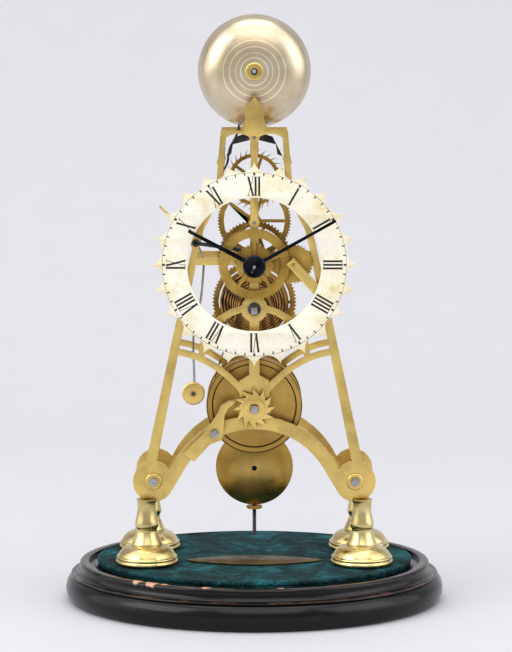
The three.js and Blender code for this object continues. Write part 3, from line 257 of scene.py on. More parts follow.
def filed_brass(name, pale, mid, dark, low_rough, high_rough):
    """Sheet brass, filed, polished and lacquered: clouds of tarnish, fine filing lines, painted shade in
    corners.
    """
    made, tree, shader, coords = new_finish(name)
    cloud = noise(tree, coords, 26, 7, Roughness=0.62)
    tone = ramp(tree, cloud, [(0.3, dark), (0.5, mid), (0.7, pale)])
    # Painted shade: an occlusion test darkens corners and creases towards brown
    creases = add_node(tree, "ShaderNodeAmbientOcclusion", {"Distance": 7 * MM}, samples=6)
    painted_corner_shade = ramp(tree, creases.outputs["AO"], [(0.25, (0.30, 0.21, 0.10)), (0.85, (1, 1, 1))])
    smear = noise(tree, coords, 9, 4)
    # Filing lines are 0.05 mm apart on the real plates and are drawn at 0.5 mm so that they show
    lines = noise(tree, stretched(tree, coords, (0.08, 1, 1)), 0.5, 2)
    add_relief(tree, shader, lines, 0.05, 0.05)
    fill(tree, shader, {
        "Base Color": blended(tree, 0.85, tone, painted_corner_shade, "MULTIPLY"),
        "Roughness": spread(tree, smear, 0.3, 0.7, low_rough, high_rough),
        "Metallic": 1,
    })
    return made


def turned_metal(name, pale, dark, low_rough, high_rough, centre, pitch, relief, painted_rings=()):
    """Metal finished on a lathe: fine rings that catch the light, a slow drift of tone across it, and given
    rings painted paler as highlights and darker as shadows.
    """
    made, tree, shader, coords = new_finish(name)
    centred = centred_on(tree, coords, centre)
    cloud = noise(tree, centred, 30, 6, Roughness=0.6)
    shade = ramp(tree, cloud, [(0.32, dark), (0.68, pale)])
    rings = add_node(
        tree, "ShaderNodeTexWave",
        {"Vector": centred, "Scale": 1 / (pitch * MM) / WAVE_RADIANS, "Distortion": 0.3, "Detail": 2},
        wave_type="RINGS", rings_direction="Y",
    )
    far = distance_from_axis(tree, centred)
    # Painted light and shade: a ring above nought is painted paler as a highlight, a ring below nought darker
    # as a shadow
    for radius, strength in painted_rings:
        near = number(tree, "ABSOLUTE", number(tree, "SUBTRACT", far, radius * MM))
        line = spread(tree, near, 0.25 * MM, 0.6 * MM, 1 + strength, 1)
        scaled = add_node(tree, "ShaderNodeVectorMath", {0: shade, "Scale": line}, operation="SCALE")
        shade = scaled.outputs["Vector"]
    smear = noise(tree, coords, 12, 4)
    add_relief(tree, shader, rings.outputs["Fac"], relief, 0.05)
    fill(tree, shader, {
        "Base Color": shade,
        "Roughness": spread(tree, smear, 0.3, 0.7, low_rough, high_rough),
        "Metallic": 1,
    })
    return made


def polished_steel(name, pale, dark, low_rough, high_rough):
    """Steel arbors, screws and hands: a hard polish with a slight film of oil and a few dull spots."""
    made, tree, shader, coords = new_finish(name)
    film = noise(tree, coords, 14, 4)
    fill(tree, shader, {
        "Base Color": ramp(tree, film, [(0.35, dark), (0.65, pale)]),
        "Roughness": spread(tree, film, 0.3, 0.7, low_rough, high_rough),
        "Metallic": 1,
    })
    return made


def silvered_ring(cream):
    """Silvered brass gone to cream: soft yellow patches, darker towards the points, a dull even sheen."""
    made, tree, shader, coords = new_finish("silvered_brass_chapter_ring")
    low, high = box_of("dial_chapter_ring")
    far = distance_from_axis(tree, centred_on(tree, coords, (low + high) / 2))
    out = spread(tree, far, (high.x - 9.9) * MM, (high.x + 1.1) * MM, 0, 1)
    patches = noise(tree, coords, 16, 8, Roughness=0.65)
    tone = ramp(
        tree, patches,
        [(0.26, linear("#dcca92")), (0.38, linear("#eee3bf")), (0.5, cream), (0.72, linear("#f8f4e8"))],
    )
    aged = blended(tree, out, tone, linear("#e2cf98"))
    specks = noise(tree, coords, 1.6, 3)
    grain = ramp(tree, specks, [(0.28, (0.72, 0.63, 0.42)), (0.4, (1, 1, 1))])
    add_relief(tree, shader, specks, 0.08, 0.04)
    fill(tree, shader, {
        "Base Color": blended(tree, 0.5, aged, grain, "MULTIPLY"), "Metallic": 0.15, "Roughness": 0.55,
    })
    return made


def ebonised_wood(black):
    """Fruitwood stained black and French polished: soft gloss, dust, brown worn edges, chips at the rim."""
    made, tree, shader, coords = new_finish("ebonised_french_polish")
    _, high = box_of("base_moulding")
    rim_inset, rim_top, ledge_top = 14.5, high.z - 0.1, 20
    rubbed = noise(tree, coords, 20, 9, Roughness=0.7)
    shade = ramp(tree, rubbed, [(0.6, black), (0.7, linear("#100b08")), (0.8, linear("#2c1a10"))])
    patch = spread(tree, rubbed, 0.48, 0.66, 0, 0.75)
    height = add_node(tree, "ShaderNodeSeparateXYZ", {"Vector": coords}).outputs["Z"]
    for level in (ledge_top, rim_top):
        edge = number(tree, "COMPARE", height, level * MM, 0.25 * MM)
        shade = blended(tree, number(tree, "MULTIPLY", edge, patch), shade, linear("#6b4630"))
    flakes = noise(tree, coords, 5, 6, Roughness=0.7)
    # Chips lie along the front rim, at shares of its half length and with a reach in millimetres
    for share, reach in ((-0.66, 8), (-0.58, 10), (-0.51, 6), (-0.27, 6), (0.15, 4)):
        spot = (share * (high.x - rim_inset), -(high.y - rim_inset) * math.sqrt(1 - share**2), rim_top)
        bare = number(tree, "MULTIPLY", closeness(tree, coords, spot, reach), flakes)
        shade = blended(tree, spread(tree, bare, 0.22, 0.26, 0, 1), shade, linear("#cf9d80"))
    dust = noise(tree, coords, 5, 6)
    pores = noise(tree, stretched(tree, coords, (0.1, 1, 1)), 1.5, 4)
    add_relief(tree, shader, pores, 0.12, 0.1)
    fill(tree, shader, {
        "Base Color": shade, "Roughness": spread(tree, dust, 0.35, 0.7, 0.14, 0.28),
        "Specular IOR Level": 0.22, "Coat Weight": 0.12, "Coat Roughness": 0.12,
    })
    return made


def crushed_velvet(teal):
    """Cotton velvet, its pile crushed in patches: matt depth, with a painted pale sheen where the pile leans
    over.
    """
    made, tree, shader, coords = new_finish("cotton_velvet")
    crush = noise(tree, coords, 24, 10, Roughness=0.85, Distortion=0.8)
    # The crushed patches are the cloth's own; their palest tones are painted sheen
    tone = ramp(
        tree, crush,
        [(0.4, shaded(teal, 0.15)), (0.47, teal), (0.54, shaded(teal, 3)), (0.64, shaded(teal, 9))],
    )
    # The pile's tufts are 0.3 mm apart and are drawn at 0.9 mm so that they show
    tufts = noise(tree, coords, 0.9, 3)
    nap = ramp(tree, tufts, [(0.38, (0.25, 0.25, 0.25)), (0.6, (1, 1, 1))])
    add_relief(tree, shader, number(tree, "ADD", crush, tufts), 0.6, 0.5)
    fill(tree, shader, {
        "Base Color": blended(tree, 1, tone, nap, "MULTIPLY"), "Roughness": 0.95, "Specular IOR Level": 0.15,
        "Sheen Weight": 0.1, "Sheen Roughness": 0.4, "Sheen Tint": linear("#7fb3b0"),
    })
    return made


def twisted_gut():
    """Gut line, twisted and oiled: warm amber strands with a soft waxy gloss."""
    made, tree, shader, coords = new_finish("twisted_gut")
    slant = add_node(tree, "ShaderNodeMapping", {"Vector": coords, "Rotation": (0.5, 0.6, 0)})
    strands = add_node(
        tree, "ShaderNodeTexWave",
        {"Vector": slant.outputs["Vector"], "Scale": 1 / (1.1 * MM) / WAVE_RADIANS, "Distortion": 1.5},
    ).outputs["Fac"]
    add_relief(tree, shader, strands, 0.4, 0.15)
    tone = ramp(tree, strands, [(0.2, linear("#6e4a1c")), (0.8, linear("#b98a44"))])
    fill(tree, shader, {"Base Color": tone, "Roughness": 0.5})
    return made


def black_wax():
    """Black wax in the engraved numerals: dense, slightly glossy, with worn brown edges."""
    made, tree, shader, coords = new_finish("black_engraving_wax")
    wear = noise(tree, coords, 3, 6)
    tone = ramp(tree, wear, [(0.55, linear("#12100d")), (0.75, linear("#3b3224"))])
    fill(tree, shader, {"Base Color": tone, "Roughness": 0.5})
    return made


def studio_paper(pale):
    """Seamless background paper: matt, even, with a barely visible fibre, and clear when seen from behind."""
    made, tree, shader, coords = new_finish("seamless_paper")
    fibre = noise(tree, coords, 40, 5)
    tone = ramp(tree, fibre, [(0.3, shaded(pale, 0.985)), (0.7, pale)])
    fill(tree, shader, {"Base Color": tone, "Roughness": 0.9})
    behind = add_node(tree, "ShaderNodeNewGeometry").outputs["Backfacing"]
    clear = add_node(tree, "ShaderNodeBsdfTransparent")
    sides = {"Fac": behind, 1: shader.outputs["BSDF"], 2: clear.outputs["BSDF"]}
    seen = add_node(tree, "ShaderNodeMixShader", sides)
    fill(tree, tree.nodes["Material Output"], {"Surface": seen.outputs["Shader"]})
    return made


def make_finishes(colours):
    """All finishes by the name that the pieces call them."""
    brass = tuple(colours.brass)
    bell, bob, barrel = middle("bell"), middle("pendulum_bob"), middle("barrel_drum")
    plate_tones = shaded(brass, 1.25), shaded(brass, 1.08), shaded(brass, 0.76)
    bright_tones = shaded(brass, 1.38), shaded(brass, 1.2), brass
    wheel_tones = linear("#cdab58"), linear("#b28f45"), linear("#80632e")
    foot_tones = linear("#e8dcab"), linear("#d6c388"), linear("#a39056")
    fusee_tones = linear("#8a6e3c"), linear("#6b5029"), linear("#45321a")
    plaque_tones = linear("#8a7852"), linear("#6d5c3c"), linear("#463a25")
    # Painted rings on turned faces: radius in millimetres and how much paler, or darker below nought, each is;
    # the barrel's dark rings are painted shadows at the cap's edge and the rim, the bell's pale rings painted
    # highlights
    barrel_shadow_rings = [(29.7, -0.85), (33.4, -0.7)]
    bell_highlight_rings = [(9.6, 0.6), (13.1, 0.4), (17.4, 0.6), (21.9, 0.5)]
    return {
        "plate": filed_brass("lacquered_plate_brass", *plate_tones, 0.24, 0.38),
        "bright": filed_brass("bright_brass", *bright_tones, 0.18, 0.32),
        "wheel": filed_brass("wheel_brass", *wheel_tones, 0.28, 0.42),
        "feet": filed_brass("turned_pillar_brass", *foot_tones, 0.2, 0.32),
        "tarnished": filed_brass("tarnished_brass", *fusee_tones, 0.3, 0.5),
        "plaque": filed_brass("dull_plaque_brass", *plaque_tones, 0.42, 0.6),
        "barrel": turned_metal(
            "turned_barrel_brass", linear("#c9a65a"), linear("#a48142"), 0.3, 0.44, barrel, 0.8, 0.12,
            barrel_shadow_rings,
        ),
        "bell": turned_metal(
            "turned_bell_metal", linear("#dbceb4"), linear("#c0ad8c"), 0.26, 0.36, bell, 1.2, 0.16, bell_highlight_rings
        ),
        "bob": turned_metal(
            "turned_bob_brass", linear("#c4a55c"), linear("#a08242"), 0.26, 0.38, bob, 1, 0.14
        ),
        "steel": polished_steel("polished_steel", linear("#b9b9ba"), linear("#96969a"), 0.18, 0.34),
        "dark_steel": polished_steel("oiled_dark_steel", linear("#5a5a5e"), linear("#2e2e33"), 0.22, 0.4),
        "blued": polished_steel("blued_steel", linear("#2a2d36"), linear("#121319"), 0.18, 0.34),
        "dial": silvered_ring(tuple(colours.dial)),
        "wax": black_wax(),
        "wood": ebonised_wood(tuple(colours.wood)),
        "velvet": crushed_velvet(tuple(colours.velvet)),
        "gut": twisted_gut(),
        "paper": studio_paper(tuple(colours.floor)),
    }


FINISHES = {}


# Shapes, all in millimetres until they become a mesh


def link(name, mesh, finish):
    """An object at the origin that holds the mesh and its finish."""
    made = bpy.data.objects.new(name, mesh)
    bpy.context.scene.collection.objects.link(made)
    mesh.materials.clear()
    mesh.materials.append(FINISHES[finish])
    return made


def smooth_below(mesh, crease):
    mesh.shade_smooth()
    mesh.set_sharp_from_angle(angle=math.radians(crease))


def closed_mesh(name, build, crease=32):
    """A mesh filled in by build, merged, turned outwards and smooth below the crease angle."""
    shape = bmesh.new()
    build(shape)
    bmesh.ops.remove_doubles(shape, verts=shape.verts, dist=0.0005 * MM)
    bmesh.ops.recalc_face_normals(shape, faces=shape.faces)
    mesh = bpy.data.meshes.new(name)
    shape.to_mesh(mesh)
    shape.free()
    smooth_below(mesh, crease)
    return mesh


def corner(shape, place):
    return shape.verts.new([c * MM for c in place])


def add_prism(shape, near, far):
    """Adds the solid between two outlines with as many corners each."""
    near = [corner(shape, place) for place in near]
    far = [corner(shape, place) for place in far]
    shape.faces.new(near)
    shape.faces.new(far[::-1])
    for i in range(len(near)):
        j = (i + 1) % len(near)
        shape.faces.new([near[i], near[j], far[j], far[i]])


def revolve(shape, profile, steps, centre=(0, 0, 0), axis="Y"):
    """Adds a turned solid: profile is pairs of radius and distance along the axis."""
    rows = []
    for radius, along in profile:
        row = []
        for i in range(1 if radius < 1e-6 else steps):
            u, v = radius * math.cos(TURN * i / steps), radius * math.sin(TURN * i / steps)
            spot = {"X": (along, u, v), "Y": (u, along, v), "Z": (u, v, along)}[axis]
            row.append(corner(shape, [c + s for c, s in zip(centre, spot)]))
        rows.append(row)
    for low, high in zip(rows, rows[1:]):
        for i in range(steps):
            j = (i + 1) % steps
            around = [low[i % len(low)], low[j % len(low)], high[j % len(high)], high[i % len(high)]]
            around = list(dict.fromkeys(around))
            if len(around) > 2:
                shape.faces.new(around)


def turned(name, profile, finish, steps=64, centre=(0, 0, 0), axis="Y", crease=32):
    mesh = closed_mesh(name, lambda shape: revolve(shape, profile, steps, centre, axis), crease)
    return link(name, mesh, finish)


def both_ends(end, low, high):
    """A turned profile that is the same at either end: pairs of radius and distance from the end."""
    return [(r, low + y) for r, y in end] + [(r, high - y) for r, y in reversed(end)]


def oval(name, half_length, half_depth, profile, steps, finish, crease, lift=lambda angle, inset: 0):
    """A solid with an oval outline: profile is pairs of inset from the edge and height."""

    def build(shape):
        rows = []
        for inset, z in profile:
            row = []
            for i in range(steps):
                a = TURN * i / steps
                x, y = (half_length - inset) * math.cos(a), (half_depth - inset) * math.sin(a)
                row.append(corner(shape, (x, y, z + lift(a, inset))))
            rows.append(row)
        for under, over in zip(rows, rows[1:]):
            for i in range(steps):
                j = (i + 1) % steps
                shape.faces.new([under[i], under[j], over[j], over[i]])
        shape.faces.new(rows[0])
        shape.faces.new(rows[-1])

    return link(name, closed_mesh(name, build, crease), finish)


def from_curve(name, curve, place=None):
    """A curve made a plain mesh, then put in its place."""
    holder = bpy.data.objects.new(name + "_curve", curve)
    bpy.context.scene.collection.objects.link(holder)
    graph = bpy.context.evaluated_depsgraph_get()
    mesh = bpy.data.meshes.new_from_object(holder.evaluated_get(graph))
    bpy.data.objects.remove(holder)
    if place:
        mesh.transform(place)
    shape = bmesh.new()
    shape.from_mesh(mesh)
    bmesh.ops.remove_doubles(shape, verts=shape.verts, dist=0.002 * MM)
    bmesh.ops.recalc_face_normals(shape, faces=shape.faces)
    shape.to_mesh(mesh)
    shape.free()
    smooth_below(mesh, 30)
    return mesh


def sawn(name, outlines, front, thickness, edge, finish):
    """A flat piece with softened edges: an outline in X and Z and any holes, from its front face back."""
    curve = bpy.data.curves.new(name, "CURVE")
    curve.dimensions = "2D"
    curve.fill_mode = "BOTH"
    curve.extrude = (thickness / 2 - edge) * MM
    curve.bevel_depth = edge * MM
    curve.offset = -edge * MM
    curve.bevel_resolution = 1
    for outline in outlines:
        spline = curve.splines.new("POLY")
        spline.points.add(len(outline) - 1)
        for spot, (x, z) in zip(spline.points, outline):
            spot.co = (x * MM, z * MM, 0, 1)
        spline.use_cyclic_u = True
    place = Matrix.Translation((0, (front + thickness / 2) * MM, 0)) @ Matrix.Rotation(math.pi / 2, 4, "X")
    return link(name, from_curve(name, curve, place), finish)


def circle(x, z, radius, steps, first=0.0):
    angles = [first + TURN * i / steps for i in range(steps)]
    return [(x + radius * math.cos(a), z + radius * math.sin(a)) for a in angles]


def block(x, z, half_width, half_height):
    """The outline of a rectangle about a point."""
    return [
        (x - half_width, z - half_height), (x + half_width, z - half_height),
        (x + half_width, z + half_height), (x - half_width, z + half_height),
    ]


def smooth_path(points, steps=8):
    """Points on a smooth curve through the given ones."""
    spots = [Vector(p) for p in points]
    padded = [2 * spots[0] - spots[1]] + spots + [2 * spots[-1] - spots[-2]]
    path = []
    for i in range(1, len(padded) - 2):
        a, b, c, d = padded[i - 1 : i + 3]
        for k in range(steps):
            t = k / steps
            square, cube = 2 * a - 5 * b + 4 * c - d, 3 * b - a - 3 * c + d
            path.append(0.5 * (2 * b + (c - a) * t + square * t**2 + cube * t**3))
    return path + [spots[-1]]


def drawn_wire(name, points, radius, finish):
    """A round wire bent along a path."""
    curve = bpy.data.curves.new(name, "CURVE")
    curve.dimensions = "3D"
    curve.bevel_depth = radius * MM
    curve.bevel_resolution = 3
    curve.use_fill_caps = True
    spline = curve.splines.new("POLY")
    spline.points.add(len(points) - 1)
    for spot, place in zip(spline.points, points):
        spot.co = (*[c * MM for c in place], 1)
    return link(name, from_curve(name, curve), finish)


def joined(name, pieces):
    """Several objects as one mesh object of that name."""
    shape = bmesh.new()
    finishes = []
    for piece in pieces:
        material = piece.data.materials[0]
        if material not in finishes:
            finishes.append(material)
        first = len(shape.faces)
        shape.from_mesh(piece.data)
        shape.faces.ensure_lookup_table()
        for face in shape.faces[first:]:
            face.material_index = finishes.index(material)
        bpy.data.objects.remove(piece)
    mesh = bpy.data.meshes.new(name)
    shape.to_mesh(mesh)
    shape.free()
    for material in finishes:
        mesh.materials.append(material)
    made = bpy.data.objects.new(name, mesh)
    bpy.context.scene.collection.objects.link(made)
    return made


def stand_for(obj, node):
    """The piece moves with the body of the CAD node that it stands for, and the node is hidden."""
    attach(obj, BODY_OF[node])
    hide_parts(node)


def lie_on(obj, node):
    """The piece moves with a CAD node, but does not stand for it."""
    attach(obj, BODY_OF[node])


def lathe_size(node):
    """What a CAD node turned along Y has: its axis's place, its radius, its front and its back."""
    low, high = box_of(node)
    x, _, z = (low + high) / 2
    return (x, 0, z), (high.x - low.x) / 2, low.y, high.y


def turn_node(node, finish, steps, profile, crease=32):
    """Turns the piece that stands for a CAD node, on the node's own axis."""
    centre = lathe_size(node)[0]
    stand_for(turned(node + "_finished", profile, finish, steps, centre, crease=crease), node)


def dressed(node, finish, edge):
    """A CAD node's own shape with merged corners, softened edges and smooth curves."""
    shape = bmesh.new()
    shape.from_mesh(frame["nodes"][node].data)
    bmesh.ops.remove_doubles(shape, verts=shape.verts, dist=0.001 * MM)
    bmesh.ops.dissolve_limit(
        shape, angle_limit=math.radians(0.6), verts=shape.verts, edges=shape.edges, delimit={"NORMAL"}
    )
    if edge:
        sharp = math.radians(38)
        corners = [e for e in shape.edges if len(e.link_faces) == 2 and e.calc_face_angle(0) > sharp]
        bmesh.ops.bevel(
            shape, geom=corners, offset=edge, offset_type="OFFSET", segments=2, profile=0.6, affect="EDGES",
            clamp_overlap=True,
        )
    bmesh.ops.triangulate(shape, faces=[f for f in shape.faces if len(f.verts) > 4])
    name = node + "_finished"
    mesh = bpy.data.meshes.new(name)
    shape.to_mesh(mesh)
    shape.free()
    smooth_below(mesh, 30)
    stand_for(link(name, mesh, finish), node)


# Geometry Nodes


def node_group(name, sockets):
    """An empty geometry tree with named inputs: (name, socket type, default)."""
    tree = bpy.data.node_groups.new(name, "GeometryNodeTree")
    tree.interface.new_socket("Geometry", in_out="INPUT", socket_type="NodeSocketGeometry")
    tree.interface.new_socket("Geometry", in_out="OUTPUT", socket_type="NodeSocketGeometry")
    for label, kind, default in sockets:
        made = tree.interface.new_socket(label, in_out="INPUT", socket_type=kind)
        if default is not None:
            made.default_value = default
    return tree, add_node(tree, "NodeGroupInput").outputs, add_node(tree, "NodeGroupOutput")


def finish_tree(tree, given, result, geometry):
    """Ends a tree with real geometry in its finish."""
    plain = add_node(tree, "GeometryNodeRealizeInstances", {"Geometry": geometry})
    inputs = {"Geometry": plain.outputs["Geometry"], "Material": given["Finish"]}
    coloured = add_node(tree, "GeometryNodeSetMaterial", inputs)
    fill(tree, result, {"Geometry": coloured.outputs["Geometry"]})
    return tree


def grown(name, base_mesh, tree, inputs):
    """The plain mesh that a geometry tree makes from a base mesh with these inputs."""
    holder = bpy.data.objects.new(name + "_base", base_mesh)
    bpy.context.scene.collection.objects.link(holder)
    modifier = holder.modifiers.new("shape", "NODES")
    modifier.node_group = tree
    for item in tree.interface.items_tree:
        if item.in_out == "INPUT" and item.name in inputs:
            modifier[item.identifier] = inputs[item.name]
    graph = bpy.context.evaluated_depsgraph_get()
    mesh = bpy.data.meshes.new_from_object(holder.evaluated_get(graph))
    holder.modifiers.remove(modifier)
    bpy.data.objects.remove(holder)
    mesh.name = name
    made = bpy.data.objects.new(name, mesh)
    bpy.context.scene.collection.objects.link(made)
    return made


def swept_tree():
    """Sweeps a round section along the base mesh's edges."""
    sockets = [
        ("Radius", "NodeSocketFloat", MM), ("Sides", "NodeSocketInt", 10),
        ("Finish", "NodeSocketMaterial", None),
    ]
    tree, given, result = node_group("sweep_round", sockets)
    path = add_node(tree, "GeometryNodeMeshToCurve", {"Mesh": given["Geometry"]})
    size = {"Resolution": given["Sides"], "Radius": given["Radius"]}
    section = add_node(tree, "GeometryNodeCurvePrimitiveCircle", size)
    swept = {"Curve": path.outputs["Curve"], "Profile Curve": section.outputs["Curve"], "Fill Caps": True}
    sweep = add_node(tree, "GeometryNodeCurveToMesh", swept)
    return finish_tree(tree, given, result, sweep.outputs["Mesh"])


def radial_tree():
    """Sets a block at each corner of the base mesh, its long side pointing away from the dial's centre."""
    sockets = [
        ("Length", "NodeSocketFloat", MM), ("Width", "NodeSocketFloat", MM), ("Depth", "NodeSocketFloat", MM),
        ("Centre", "NodeSocketVector", (0, 0, 0)), ("Finish", "NodeSocketMaterial", None),
    ]
    tree, given, result = node_group("marks_round_centre", sockets)
    sides = {"X": given["Width"], "Y": given["Depth"], "Z": given["Length"]}
    size = add_node(tree, "ShaderNodeCombineXYZ", sides)
    mark = add_node(tree, "GeometryNodeMeshCube", {"Size": size.outputs["Vector"]})
    spot = add_node(tree, "GeometryNodeInputPosition").outputs["Position"]
    outwards = vector(tree, "SUBTRACT", spot, given["Centre"])
    turn = add_node(
        tree, "FunctionNodeAlignRotationToVector", {"Vector": outwards.outputs["Vector"]},
        axis="Z", pivot_axis="Y",
    )
    copies = add_node(
        tree, "GeometryNodeInstanceOnPoints",
        {"Points": given["Geometry"], "Instance": mark.outputs["Mesh"], "Rotation": turn.outputs["Rotation"]},
    )
    return finish_tree(tree, given, result, copies.outputs["Instances"])


def path_mesh(name, points, closed=False):
    """A mesh of edges only, through points in millimetres."""
    edges = [(i, i + 1) for i in range(len(points) - 1)]
    if closed:
        edges.append((len(points) - 1, 0))
    mesh = bpy.data.meshes.new(name)
    mesh.from_pydata([[c * MM for c in p] for p in points], edges, [])
    return mesh


# Operators, one for each piece or group of like pieces


class ClockOperator:
    """What the clock's operators share."""

    bl_options = {"REGISTER"}

    def execute(self, context):
        self.build(context.scene.clock_sizes)
        return {"FINISHED"}


class CLOCK_OT_base(ClockOperator, bpy.types.Operator):
    """Builds the ebonised oval base moulding"""

    bl_idname = "clock.base"
    bl_label = "Base moulding"

    def build(self, sizes):
        _, high = box_of("base_moulding")
        top, groove_floor = high.z, PAD_FLOOR - 1
        torus_radius, torus_bulge = 9.3, 6.6
        angles = [math.radians(-82.5 + 7.5 * i) for i in range(21)]
        torus = [(torus_bulge * (1 - math.cos(a)), torus_radius * (1 + math.sin(a))) for a in angles]
        bead = [(4.5, 18.3), (3.9, 18.7), (3.7, 19.2), (3.9, 19.8), (4.7, 20.2), (6, 20.2), (6.3, 20)]
        cove = [(7.4, 20.1), (8.8, 20.8), (9.7, 22), (10.1, 23.6), (10.2, 24.6), (9.9, 24.8)]
        rim = [
            (9.9, top - 1.9), (10.2, top - 0.9), (10.9, top - 0.2), (11.8, top), (15.8, top),
            (16.5, top - 0.3), (16.7, top - 0.9),
        ]
        well = [(16.8, groove_floor), (20.9, groove_floor), (21.1, PAD_FLOOR)]
        profile = [(torus_bulge, 0), *torus, *bead, *cove, *rim, *well]
        stand_for(oval("base_finished", high.x, high.y, profile, 144, "wood", 40), "base_moulding")


class CLOCK_OT_velvet(ClockOperator, bpy.types.Operator):
    """Builds the velvet pad and its piped edge"""

    bl_idname = "clock.velvet"
    bl_label = "Velvet pad"

    def build(self, sizes):
        low, high = box_of("velvet_pad")
        edge_inset, side, shoulder, crown = 0.6, low.z + 2.5, low.z + 3.5, low.z + 3.8
        profile = [(edge_inset, low.z), (edge_inset, side), (1.4, shoulder)]
        profile += [(inset, crown) for inset in (3, 6, 14)]
        profile += [(inset, crown + 0.1) for inset in (30, 50, 70, 85)]

        def ripple(angle, inset):
            """The cloth's slight unevenness, from the shoulder inwards."""
            wave = math.sin(7 * angle + inset * 0.21) * math.sin(3 * angle - inset * 0.13)
            return 0.18 * wave if inset > 2 else 0

        pad = oval("velvet_finished", high.x, high.y, profile, 120, "velvet", 60, ripple)
        stand_for(pad, "velvet_pad")
        steps, inset, z = 160, sizes.piping / MM - edge_inset, low.z + 2.7
        angles = [TURN * i / steps for i in range(steps)]
        route = [((high.x - inset) * math.cos(a), (high.y - inset) * math.sin(a), z) for a in angles]
        piping = grown(
            "velvet_piping", path_mesh("piping_path", route, True), swept_tree(),
            {"Radius": sizes.piping, "Sides": 12, "Finish": FINISHES["velvet"]},
        )
        piping.data.shade_smooth()
        lie_on(piping, "velvet_pad")


class CLOCK_OT_plaque(ClockOperator, bpy.types.Operator):
    """Builds the bare pointed plaque"""

    bl_idname = "clock.plaque"
    bl_label = "Plaque"

    def build(self, sizes):
        low, high = box_of("plaque")
        half, depth = high.x, (high.y - low.y) / 2
        bow = (half**2 - depth**2) / (2 * depth)
        radius = bow + depth
        span, steps = math.asin(half / radius), 40
        angles = [span * (2 * i / steps - 1) for i in range(steps + 1)]
        front = [(radius * math.sin(a), radius * math.cos(a) - bow) for a in angles]
        outline = front + [(-x, -y) for x, y in front[1:-1]]
        plate = sawn("plaque_plate", [outline], 0, high.z - low.z, 0.25, "plaque")
        middle_y, pin_inset = low.y + depth, 6.5
        lay_flat = Matrix.Rotation(-math.pi / 2, 4, "X")
        plate.data.transform(Matrix.Translation((0, middle_y * MM, high.z * MM)) @ lay_flat)
        dome = [(0, 0.35), (0.6, 0.3), (1.0, 0.12), (1.1, -0.4), (0, -0.4)]
        pins = []
        for x in (pin_inset - half, half - pin_inset):
            pins.append(turned("plaque_pin", dome, "plaque", 20, (x, middle_y, high.z), "Z"))
        stand_for(joined("plaque_finished", [plate, *pins]), "plaque")


class CLOCK_OT_feet(ClockOperator, bpy.types.Operator):
    """Turns the four feet and cuts the slots that hold the plates"""

    bl_idname = "clock.feet"
    bl_label = "Turned feet"

    def build(self, sizes):
        rings = [
            (0, 0), (21.6, 0), (21.95, 0.5), (22.1, 1.6), (21.95, 2.6), (21.4, 3.1), (21.2, 3.4), (21.5, 3.8),
            (21.6, 4.6), (21.2, 5.3), (20.4, 5.6), (20.2, 5.9),
        ]
        dome = [
            (20, 6.6), (19.2, 8), (17.9, 9.6), (16.2, 11.1), (14.2, 12.1), (12, 12.7), (10.9, 12.9),
            (10.75, 13.3),
        ]
        cone = [(10.9, 13.9), (10.5, 14.8), (9.6, 16.8), (8.6, 19.2), (7.6, 22), (7.15, 24)]
        knop = [(7.5, 25), (8.2, 26.1), (8.45, 27.3), (8.35, 28.8), (7.9, 31)]
        neck = [(7.2, 34), (6.7, 37), (6.55, 40), (6.6, 43)]
        lip = [(6.9, 44.6), (7.3, 45.3), (7.25, 45.9), (6.9, 46), (0, 46)]
        profile = rings + dome + cone + knop + neck + lip
        for end, outer, inner in (("front", FRONT_OUTER, FRONT_INNER), ("back", BACK_OUTER, BACK_INNER)):
            for side in ("left", "right"):
                node = f"foot_{end}_{side}"
                centre, plate_end = middle(node), middle(f"plate_spacer_{side}")
                centre.z = box_of(node)[0].z
                foot = turned(node + "_finished", profile, "feet", 72, centre, "Z", 40)
                reach = plate_end.z - box_of("front_plate")[0].z + SLOT_GAP
                half = abs(outer - inner) / 2 + SLOT_GAP
                disc = both_ends([(0, 0), (reach, 0)], -half, half)
                self.cut_slot(foot, disc, (plate_end.x, centre.y, plate_end.z))
                stand_for(foot, node)

    def cut_slot(self, foot, disc, centre):
        """Takes a disc out of the top of a foot."""
        cutter = turned("slot_cutter", disc, "feet", 96, centre)
        carve = foot.modifiers.new("slot", "BOOLEAN")
        carve.operation = "DIFFERENCE"
        carve.solver = "EXACT"
        carve.object = cutter
        graph = bpy.context.evaluated_depsgraph_get()
        carved = bpy.data.meshes.new_from_object(foot.evaluated_get(graph))
        foot.modifiers.remove(carve)
        foot.data = carved
        bpy.data.objects.remove(cutter)


class CLOCK_OT_plates(ClockOperator, bpy.types.Operator):
    """Finishes the two pierced plates"""

    bl_idname = "clock.plates"
    bl_label = "Plates"

    def build(self, sizes):
        dressed("front_plate", "plate", sizes.edge)
        dressed("back_plate", "plate", sizes.edge)


def build_screw(node, out, shank_length, slot_turn):
    """A cheese-head screw on a CAD screw's axis: its head stands out, its slot is turned by an angle."""
    centre, head, front, back = lathe_size(node)
    head_height, slot_depth, half_slot, shank = 1.8, 0.7, 0.4, 1.5
    top = front if out < 0 else back
    face, floor = top - out * head_height, top - out * slot_depth
    tip = face - out * shank_length
    disc = [(0, face), (head, face), (head, floor), (0, floor)]
    pieces = [turned(node + "_head", disc, "steel", 40, centre)]
    start, steps = math.asin(half_slot / head), 24
    for sign in (1, -1):
        outline = []
        for i in range(steps + 1):
            a = start + (math.pi - 2 * start) * i / steps
            u, v = head * math.cos(a), sign * head * math.sin(a)
            across = u * math.cos(slot_turn) - v * math.sin(slot_turn)
            up = u * math.sin(slot_turn) + v * math.cos(slot_turn)
            outline.append((centre[0] + across, centre[2] + up))
        pieces.append(sawn(node + "_half", [outline], min(floor, top), slot_depth, 0.125, "steel"))
    rod = [(0, face), (shank, face), (shank, tip), (0, tip)]
    pieces.append(turned(node + "_shank", rod, "steel", 24, centre))
    stand_for(joined(node + "_finished", pieces), node)


